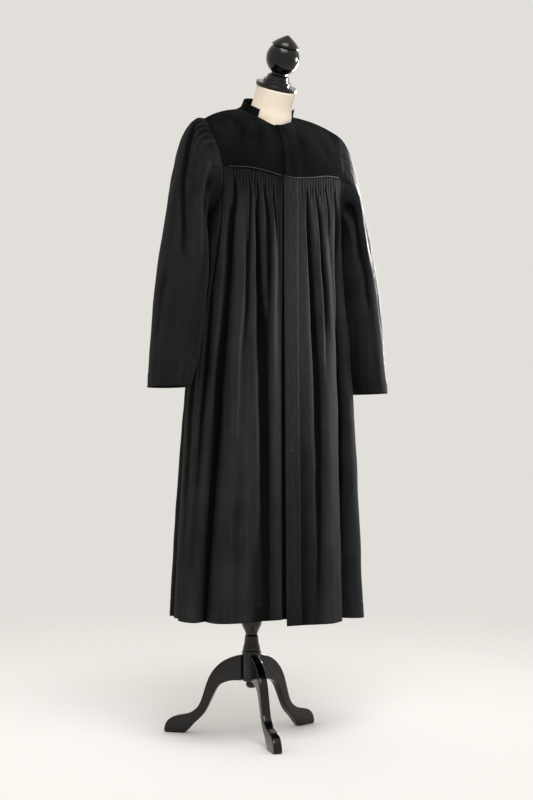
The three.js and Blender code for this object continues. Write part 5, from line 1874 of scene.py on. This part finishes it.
    def patch(self, side: int, name: str) -> None:
        """Make the small square at a corner of the yoke.

        Args:
            side: 1 for the wearer's left.
            name: The side's name.
        """
        grid = []
        for degrees in spread(80, 92, 14):
            s = spread(0.8, 1.7, 16)
            turn = np.full(len(s), degrees)
            p = self.at(turn, s, side)
            around = self.at(turn + 2, s, side) - self.at(turn - 2, s, side)
            down = self.at(turn, s + 0.1, side) - self.at(turn, s - 0.1, side)
            out = unit(np.cross(down, around)) * side
            grid.append(p - out * (self.shape.cloth + 1.0))
        sheet = Sheet(np.stack(grid), self.shape.cloth)
        piece = sheet.weave(self.loom, f"cloth_corner_patch_{name}")
        self.loom.keep(piece, self.wool, "wool", [f"corner_patch_{name}"])
        sheet.tell("patch")
        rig.sheet(piece, flat=(0.019, 0.023), held="laid", rests_on=[f"cloth_sleeve_{name}"])


# ---- the dress form ------------------------------------------------------------------------------
@dataclass
class DressForm:
    """The limbless form in cream jersey, one closed skin from the neck to its lower edge."""

    loom: Loom
    surface: YokeShape
    jersey: Jersey = Jersey()
    cap_y: float = -45.6
    cap_z: float = 1636.6
    cap_thickness: float = 9.0
    tilt: float = 26.0
    levels: tuple[tuple[float, float, float, float], ...] = (
        (1375, 0.78, 0.88, 0.88), (1310, 0.73, 0.86, 0.83), (1230, 0.67, 0.77, 0.76), (1150, 0.63, 0.7, 0.7),
        (1050, 0.72, 0.73, 0.82), (950, 0.8, 0.78, 0.93), (880, 0.79, 0.78, 0.92), (832, 0.74, 0.74, 0.86),
        (812, 0.62, 0.62, 0.72),
    )

    def neck(self, angle: Array, side: Array, share: float, radius: float) -> Array:
        """Return a ring of the neck, which leans forward to the cap."""
        tilt = math.radians(self.tilt)
        top = self.cap_z - self.cap_thickness / 2 / math.cos(tilt) - 1
        dx, dy = radius * np.sin(angle) * side, -radius * np.cos(angle)
        y = mix(-12.0, self.cap_y, share) + dy * math.cos(tilt)
        return np.stack([dx, y, mix(1560.0, top, share) + dy * math.sin(tilt)], axis=1)

    def build(self) -> None:
        """Make the form as one smooth closed skin with its seams."""
        half = np.concatenate([spread(0, 1, 16)[:-1], spread(1, 3, 30)[:-1], spread(3, 4, 16)])
        c = np.concatenate([half, half[-2:0:-1]])
        side = np.concatenate([np.ones(len(half)), -np.ones(len(half) - 2)])
        angle = np.radians(self.surface.angles.at(c))
        rings = [self.neck(angle, side, share, radius) for share, radius in (
            (1, 49.5), (0.8, 49.3), (0.45, 50.5), (0.2, 54.5)
        )]
        base = self.neck(angle, side, 0.0, 55.5)
        edge = self.surface.neckline(np.degrees(angle), side)
        rings.append(mix(base, edge, 0.4) - np.array([0, 0, 4.0]))
        for q, depth in ((0.14, 2.2), (0.23, 1.7), (0.32, 1.6), (0.41, 1.6), (0.5, 1.6), (0.59, 1.6), (
            0.68, 1.6
        ), (0.77, 2.4), (0.85, 3.6), (0.93, 7.6)):
            rings.append(self.under(c, side, q, depth))
        for level, wide, front, behind in self.levels:
            m = np.where((side > 0)[:, None], self.surface.edge(c, 1), self.surface.edge(c, -1))
            pull = np.where(np.abs(m[:, 0]) > 165, 165 + (np.abs(m[:, 0]) - 165) * 0.6, np.abs(m[:, 0]))
            deep = m[:, 1] * np.where(m[:, 1] < 0, front, behind)
            rings.append(np.stack([np.sign(m[:, 0]) * pull * wide, deep, np.full(len(c), level)], axis=1))
        grid = self.refine(np.stack(rings), 4)
        grid = self.seams(grid, c, side)
        self.skin(grid)

    def under(self, c: Array, side: Array, q: float, depth: float) -> Array:
        """Return a ring that lies a little under the yoke."""
        halves = []
        for s in (1, -1):
            halves.append(self.surface.at(c, q, s) - self.surface.outward(c, q, s) * depth)
        return np.where((side > 0)[:, None], halves[0], halves[1])

    def refine(self, rings: Array, steps: int) -> Array:
        """Return the rings with smooth rings between them."""
        run = np.concatenate([[0], np.linalg.norm(np.diff(rings, axis=0), axis=2).mean(axis=1).cumsum()])
        fine = np.concatenate(
            [np.linspace(run[k], run[k + 1], steps, endpoint=False) for k in range(len(run) - 1)] + [run[-1:]]
        )
        flat = rings.reshape(len(rings), -1)
        table = Curve(np.concatenate([run[:, None], flat], axis=1))
        columns = [table.at(fine, k + 1) for k in range(flat.shape[1])]
        return np.stack(columns, axis=1).reshape(len(fine), rings.shape[1], 3)

    def seams(self, grid: Array, c: Array, side: Array) -> Array:
        """Return the skin with its centre seams drawn in and a few soft puckers at the neck."""
        out = grid_normals(grid, closed=True)
        middle = grid.mean(axis=1, keepdims=True)
        out = np.where(((out * (grid - middle)).sum(axis=2) < 0)[..., None], -out, out)
        line = bump(c, 0.035) + bump(c - 4, 0.035)
        z = grid[..., 2]
        pucker = 0.35 * ripple(np.degrees(self.surface.angles.at(c))[None, :] * side / 30, z / 45, 91, 5)
        return grid + out * (-0.5 * line[None, :] + pucker * smooth((z - 1585) / 20) - 0.2)[..., None]

    def skin(self, grid: Array) -> None:
        """Close the skin at both ends and dress it."""
        count = grid.shape[1]
        middle_top, middle_low = grid[0].mean(axis=0), grid[-1].mean(axis=0)
        caps = [mix(middle_top, grid[0], t) for t in (0.0, 0.5)], [
            mix(middle_low, grid[-1], t) for t in (0.5, 0.0)
        ]
        points = np.concatenate([np.stack(caps[0]), grid, np.stack(caps[1])])
        lengths = cloth_lengths(points)
        rows = len(points)
        faces = []
        for r in range(rows - 1):
            for k in range(count):
                n = (k + 1) % count
                faces.append((r * count + k, (r + 1) * count + k, (r + 1) * count + n, r * count + n))
        piece = self.loom.mesh("jersey_form_torso", points.reshape(-1, 3), faces, lengths.reshape(-1, 2))
        work = bmesh.new()
        work.from_mesh(piece.data)
        bmesh.ops.remove_doubles(work, verts=work.verts, dist=1e-6)
        bmesh.ops.dissolve_degenerate(work, edges=work.edges, dist=1e-7)
        bmesh.ops.recalc_face_normals(work, faces=work.faces)
        work.to_mesh(piece.data)
        work.free()
        self.loom.keep(piece, self.jersey, "jersey", ["form_torso"])
        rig.padded(piece, fill=1.0)


# ---- turned and sawn wood ------------------------------------------------------------------------
def alone() -> None:
    """Leave edit mode and deselect everything."""
    if bpy.context.object and bpy.context.object.mode != "OBJECT":
        bpy.ops.object.mode_set(mode="OBJECT")
    bpy.ops.object.select_all(action="DESELECT")


def settle(piece: bpy.types.Object, name: str, bevel: float, angle: float) -> bpy.types.Object:
    """Name a piece, put its place into its mesh and round its corners.

    Args:
        piece: The object as modelled.
        name: Its name.
        bevel: The width of its rounded corners in millimetres.
        angle: The least corner that is rounded, in degrees.

    Returns:
        The piece, at the origin.
    """
    bpy.ops.object.mode_set(mode="OBJECT")
    piece.name = piece.data.name = name
    bpy.ops.object.transform_apply(location=True, rotation=True, scale=True)
    bpy.ops.object.mode_set(mode="EDIT")
    bpy.ops.mesh.select_all(action="SELECT")
    bpy.ops.mesh.remove_doubles(threshold=1e-6)
    bpy.ops.mesh.normals_make_consistent(inside=False)
    bpy.ops.object.mode_set(mode="OBJECT")
    corner = piece.modifiers.new("corner", "BEVEL")
    corner.width, corner.segments = bevel * MM, 3
    corner.limit_method, corner.angle_limit = "ANGLE", math.radians(angle)
    bpy.ops.object.modifier_apply(modifier=corner.name)
    bpy.ops.object.shade_smooth_by_angle(angle=math.radians(40))
    return piece


def turn_wood(
    name: str, profile: Sequence[tuple[float, float]], sides: int, bevel: float = 0.5
) -> bpy.types.Object:
    """Turn a piece on the lathe: a disc drawn up and in or out, ring by ring.

    Args:
        name: The piece's name.
        profile: Heights and radii, from the bottom up.
        sides: Faces round it.
        bevel: The width of its rounded corners in millimetres.

    Returns:
        The piece, round the Z axis.
    """
    alone()
    height, radius = profile[0]
    place = (0, 0, height * MM)
    bpy.ops.mesh.primitive_circle_add(vertices=sides, radius=radius * MM, fill_type="NGON", location=place)
    piece = bpy.context.object
    bpy.ops.object.mode_set(mode="EDIT")
    bpy.ops.mesh.select_all(action="SELECT")
    for next_height, next_radius in profile[1:]:
        move = {"value": (0, 0, (next_height - height) * MM)}
        bpy.ops.mesh.extrude_region_move(TRANSFORM_OT_translate=move)
        share = next_radius / radius
        if abs(share - 1) > 1e-6:
            centre = (0, 0, next_height * MM)
            bpy.ops.transform.resize(value=(share, share, 1), center_override=centre)
        height, radius = next_height, next_radius
    return settle(piece, name, bevel, 32)


def swept(rows: Sequence[tuple[float, float]], step: float = 2.5) -> list[tuple[float, float]]:
    """Return a smooth run of a profile through its rows."""
    curve = Curve(rows)
    count = max(1, round((rows[-1][0] - rows[0][0]) / step))
    return [(float(z), float(curve.at(z))) for z in spread(rows[0][0], rows[-1][0], count)]


@dataclass
class Stand:
    """The glossy black stand: neck cap with its ball, post with its urn, hub, nub and three curved legs."""

    loom: Loom
    form: DressForm
    paint: BlackPaint = BlackPaint()
    post_at: tuple[float, float] = (-3.0, 67.5)
    leg_thickness: float = 22.0
    leg_turn: float = -15.4

    def build(self) -> None:
        """Make every piece of the stand."""
        self.finial()
        self.upright("stand_post", [
            *swept([(219, 22.6), (224, 22.2), (240, 18.5), (256, 16.6), (259.3, 15)]),
            *swept([
                (259.8, 15), (262, 15.4), (271, 19), (281, 24), (289, 26), (297, 25.6), (301, 21), (304, 17)
            ], 1.7),
            (304.5, 16), (316, 16), (316.5, 15), (560, 15), (811.5, 15),
        ])
        self.upright("stand_hub", [
            (139.5, 20), (142, 23.5), (150, 23.5), (150.6, 23.1), (151.4, 23.1), (152, 23.5), (200, 23.5),
            (207.8, 23.5),
            (208.3, 24.3), (210, 24.8), (212.5, 24.95), (215, 24.7), (217, 24.2), (218.6, 23.6),
        ])
        self.upright(
            "stand_nub", swept([(122, 5), (124, 10), (127, 13), (130, 14.5), (136, 14), (139.1, 12)], 1.2)
        )
        self.legs()

    def upright(self, node: str, profile: Sequence[tuple[float, float]]) -> None:
        """Turn a piece and set it on the post's axis."""
        piece = turn_wood(f"turned_{node}", profile, 72)
        place = self.loom.place(np.array([*self.post_at, 0.0]))
        piece.data.transform(Matrix.Translation(Vector(place)))
        self.loom.keep(piece, self.paint, "black_paint", [node])

    def finial(self) -> None:
        """Turn the neck cap with its steps, ball and tip, and tilt it with the neck."""
        ball = [(69.4 + 41.4 * math.sin(a), 41.4 * math.cos(a)) for a in np.radians(spread(-62, 44, 34))]
        profile = [
            (-4.5, 51.0), (-4.0, 51.5), (4.0, 51.5), (4.5, 51.0), (4.6, 36), (13.6, 35.2), (14.0, 34.7),
            (14.1, 30), (19.7, 29.6),
            (20.0, 29.2), (20.1, 27), (26, 26.5), (29, 20), (31, 20), *ball, (98.2, 33.8), (98.6, 34.2),
            (102.6, 34.2),
            (103, 33.8), (103.1, 31),
            *swept([(104, 30.6), (108, 27), (114, 19.5), (120, 10.5), (125.3, 1.5)], 1.5),
        ]
        piece = turn_wood("turned_neck_cap_and_ball", profile, 96, 0.6)
        place = self.loom.place(np.array([0.0, self.form.cap_y, self.form.cap_z]))
        piece.data.transform(
            Matrix.Translation(Vector(place)) @ Matrix.Rotation(math.radians(self.form.tilt), 4, "X")
        )
        self.loom.keep(piece, self.paint, "black_paint", ["neck_cap_and_ball"])

    def legs(self) -> None:
        """Saw one leg, then copy it round the hub."""
        first = self.saw_leg()
        place = Vector(self.loom.place(np.array([*self.post_at, 0.0])))
        for name, turn in (("front", 0.0), ("left", 120.0), ("right", -120.0)):
            piece = first
            if name != "front":
                piece = first.copy()
                piece.data = first_mesh.copy()
                bpy.context.scene.collection.objects.link(piece)
            else:
                first_mesh = first.data.copy()
            piece.name = piece.data.name = f"sawn_leg_{name}"
            spin = Matrix.Rotation(math.radians(self.leg_turn + turn - 90), 4, "Z")
            piece.data.transform(Matrix.Translation(place) @ spin)
            self.loom.keep(piece, self.paint, "black_paint", [f"leg_{name}"])

    def saw_leg(self) -> bpy.types.Object:
        """Draw a leg out from a plate at the hub, station by station.

        Returns:
            A leg that points along +X from the post's axis.
        """
        over = [
            (23.9, 207), (38, 204.5), (55, 199), (69, 192.5), (81.6, 184.5), (97.5, 169), (107, 155),
            (113.4, 142.5),
            (120.5, 123), (126.6, 103), (134.6, 79), (143.9, 64.7), (161, 52.8), (177, 48.2), (192.6, 46),
            (211, 40.5),
            (223, 31.5), (229, 20), (231.5, 9), (230.5, 2),
        ]
        below = [
            (23.9, 140.7), (38, 141.0), (52, 140), (62, 137.5), (68.8, 135), (76, 131.8), (81.9, 128.5),
            (87.5, 122.5),
            (92.5, 115.5), (103, 94.5), (113.5, 71), (124, 52.5), (134.6, 40.5), (153, 24.7), (163, 12),
            (176, 0),
            (198, 0), (212, 0), (221, 0), (227, 0),
        ]
        alone()
        (x0, top), (_, low) = over[0], below[0]
        turn = (0, math.pi / 2, 0)
        place = (x0 * MM, 0, (top + low) / 2 * MM)
        bpy.ops.mesh.primitive_plane_add(size=1, rotation=turn, location=place)
        piece = bpy.context.object
        piece.scale = ((top - low) * MM, self.leg_thickness * MM, 1)
        bpy.ops.object.transform_apply(location=True, rotation=True, scale=True)
        bpy.ops.object.mode_set(mode="EDIT")
        bpy.ops.mesh.select_mode(type="EDGE")
        bpy.ops.mesh.select_mode(type="FACE")
        bpy.ops.mesh.select_all(action="SELECT")
        for (ax, az), (bx, bz), (cx, cz), (dx, dz) in zip(over, over[1:], below, below[1:]):
            bpy.ops.mesh.extrude_region_move(
                TRANSFORM_OT_translate={"value": ((bx - ax) * MM, 0, (bz - az) * MM)}
            )
            work = bmesh.from_edit_mesh(piece.data)
            end = [v for v in work.verts if v.select]
            low_z = min(v.co.z for v in end)
            face_z = max(v.co.z for v in end)
            for v in end:
                if v.co.z < (low_z + face_z) / 2:
                    v.co.x, v.co.z = dx * MM, dz * MM
                else:
                    v.co.x, v.co.z = bx * MM, bz * MM
            bmesh.update_edit_mesh(piece.data)
        settle(piece, "sawn_leg", 2.6, 40)
        soft = piece.modifiers.new("sanded", "SUBSURF")
        soft.levels = soft.render_levels = 1
        bpy.ops.object.modifier_apply(modifier=soft.name)
        bpy.ops.object.shade_smooth_by_angle(angle=math.radians(50))
        return piece


# ---- light and camera ----------------------------------------------------------------------------
class Lamp(Enum):
    """The studio's soft lamps."""

    KEY = "key"
    RIM = "rim"
    TOP = "top"


@dataclass
class Studio:
    """A plain pale floor, soft lamps and the camera."""

    loom: Loom
    eye: tuple[float, float, float] = (-1855.0, -2968.0, 738.0)
    look: tuple[float, float] = (0.53, 0.848)
    lens: float = 62.55
    shift_y: float = 0.05875
    floor: Plaster = Plaster("pale studio floor", (0.95, 0.93, 0.92))

    def build(self) -> None:
        """Set up the floor, the lamps, the sky and the camera."""
        self.ground()
        self.sky()
        self.lamp(Lamp.KEY, (2.7, -0.6, 1.55), (0.0, -0.05, 1.08), 0.7, 8, 36, (
            "studio_floor", "jersey", "cloth_sleeve_right"
        ))
        self.lamp(Lamp.RIM, (2.3, 1.5, 1.7), (0.25, 0.0, 1.3), 0.7, 30, 42, ("studio_floor", "jersey"))
        self.lamp(Lamp.TOP, (-0.6, -1.6, 3.2), (0.0, 0.0, 1.0), 1.6, 14, 80, ())
        self.camera()

    def ground(self) -> None:
        """Lay the floor."""
        alone()
        bpy.ops.mesh.primitive_grid_add(x_subdivisions=8, y_subdivisions=8, size=120, location=(0, 0, 0))
        piece = bpy.context.object
        piece.name = "studio_floor"
        piece.data.materials.append(self.floor.material())
        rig.stage(piece)

    def sky(self) -> None:
        """Light the room evenly and paint the background."""
        world = bpy.data.worlds.new("studio")
        bpy.context.scene.world = world
        world.use_nodes = True
        back = world.node_tree.nodes["Background"]
        back.inputs["Color"].default_value = (0.762, 0.738, 0.701, 1)
        back.inputs["Strength"].default_value = 1.0

    def lamp(
        self, kind: Lamp, place: tuple[float, float, float], towards: tuple[float, float, float], size: float,
        power: float, spread: float, flagged: tuple[str, ...],
    ) -> None:
        """Hang a soft square lamp.

        Args:
            kind: Which lamp.
            place: Where it hangs, in metres.
            towards: What it points at.
            size: Its side in metres.
            power: Its power in watts.
            spread: How wide it shines, in degrees.
            flagged: How the names of the pieces begin that a flag keeps it off.
        """
        data = bpy.data.lights.new(f"lamp_{kind.value}", "AREA")
        data.energy, data.size, data.spread, data.color = power, size, math.radians(spread), (1.0, 0.97, 0.97)
        lamp = bpy.data.objects.new(data.name, data)
        lamp.location = place
        lamp.rotation_euler = (Vector(towards) - Vector(place)).to_track_quat("-Z", "Y").to_euler()
        bpy.context.scene.collection.objects.link(lamp)
        if flagged:
            lit = bpy.data.collections.new(f"lit_by_{kind.value}")
            for piece in bpy.context.scene.objects:
                if piece.type == "MESH" and not piece.name.startswith(flagged):
                    lit.objects.link(piece)
            lamp.light_linking.receiver_collection = lit

    def camera(self) -> None:
        """Stand the camera in front, towards the wearer's right."""
        data = bpy.data.cameras.new("camera")
        data.sensor_fit, data.sensor_height = "VERTICAL", 36.0
        data.lens, data.shift_y = self.lens, self.shift_y
        data.clip_end = 500
        camera = bpy.data.objects.new("camera", data)
        camera.location = self.loom.place(np.array(self.eye))
        camera.rotation_euler = Vector((*self.look, 0.0)).to_track_quat("-Z", "Y").to_euler()
        bpy.context.scene.collection.objects.link(camera)
        bpy.context.scene.camera = camera


def main() -> None:
    """Build the robe, the form, the stand and the studio."""
    logging.basicConfig(level=logging.INFO, format="%(name)s: %(message)s")
    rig.load()
    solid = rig.bounds()
    bpy.context.scene.view_settings.view_transform = "Standard"
    loom = Loom.in_frame((-3.0, 67.5))
    shape = GownShape()
    yoke = YokeShape(shape)
    Gown(loom, shape).build()
    Yoke(loom, yoke).build()
    Sleeves(loom, shape).build()
    form = DressForm(loom, yoke)
    form.build()
    Stand(loom, form).build()
    Studio(loom).build()
    bpy.context.view_layer.update()
    with open("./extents.json", "w") as f:
        json.dump({"solid": [list(v) for v in solid], "dressed": [list(v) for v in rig.bounds()]}, f)
    log.info("%d pieces made", loom.made)


if __name__ == "__main__":
    main()
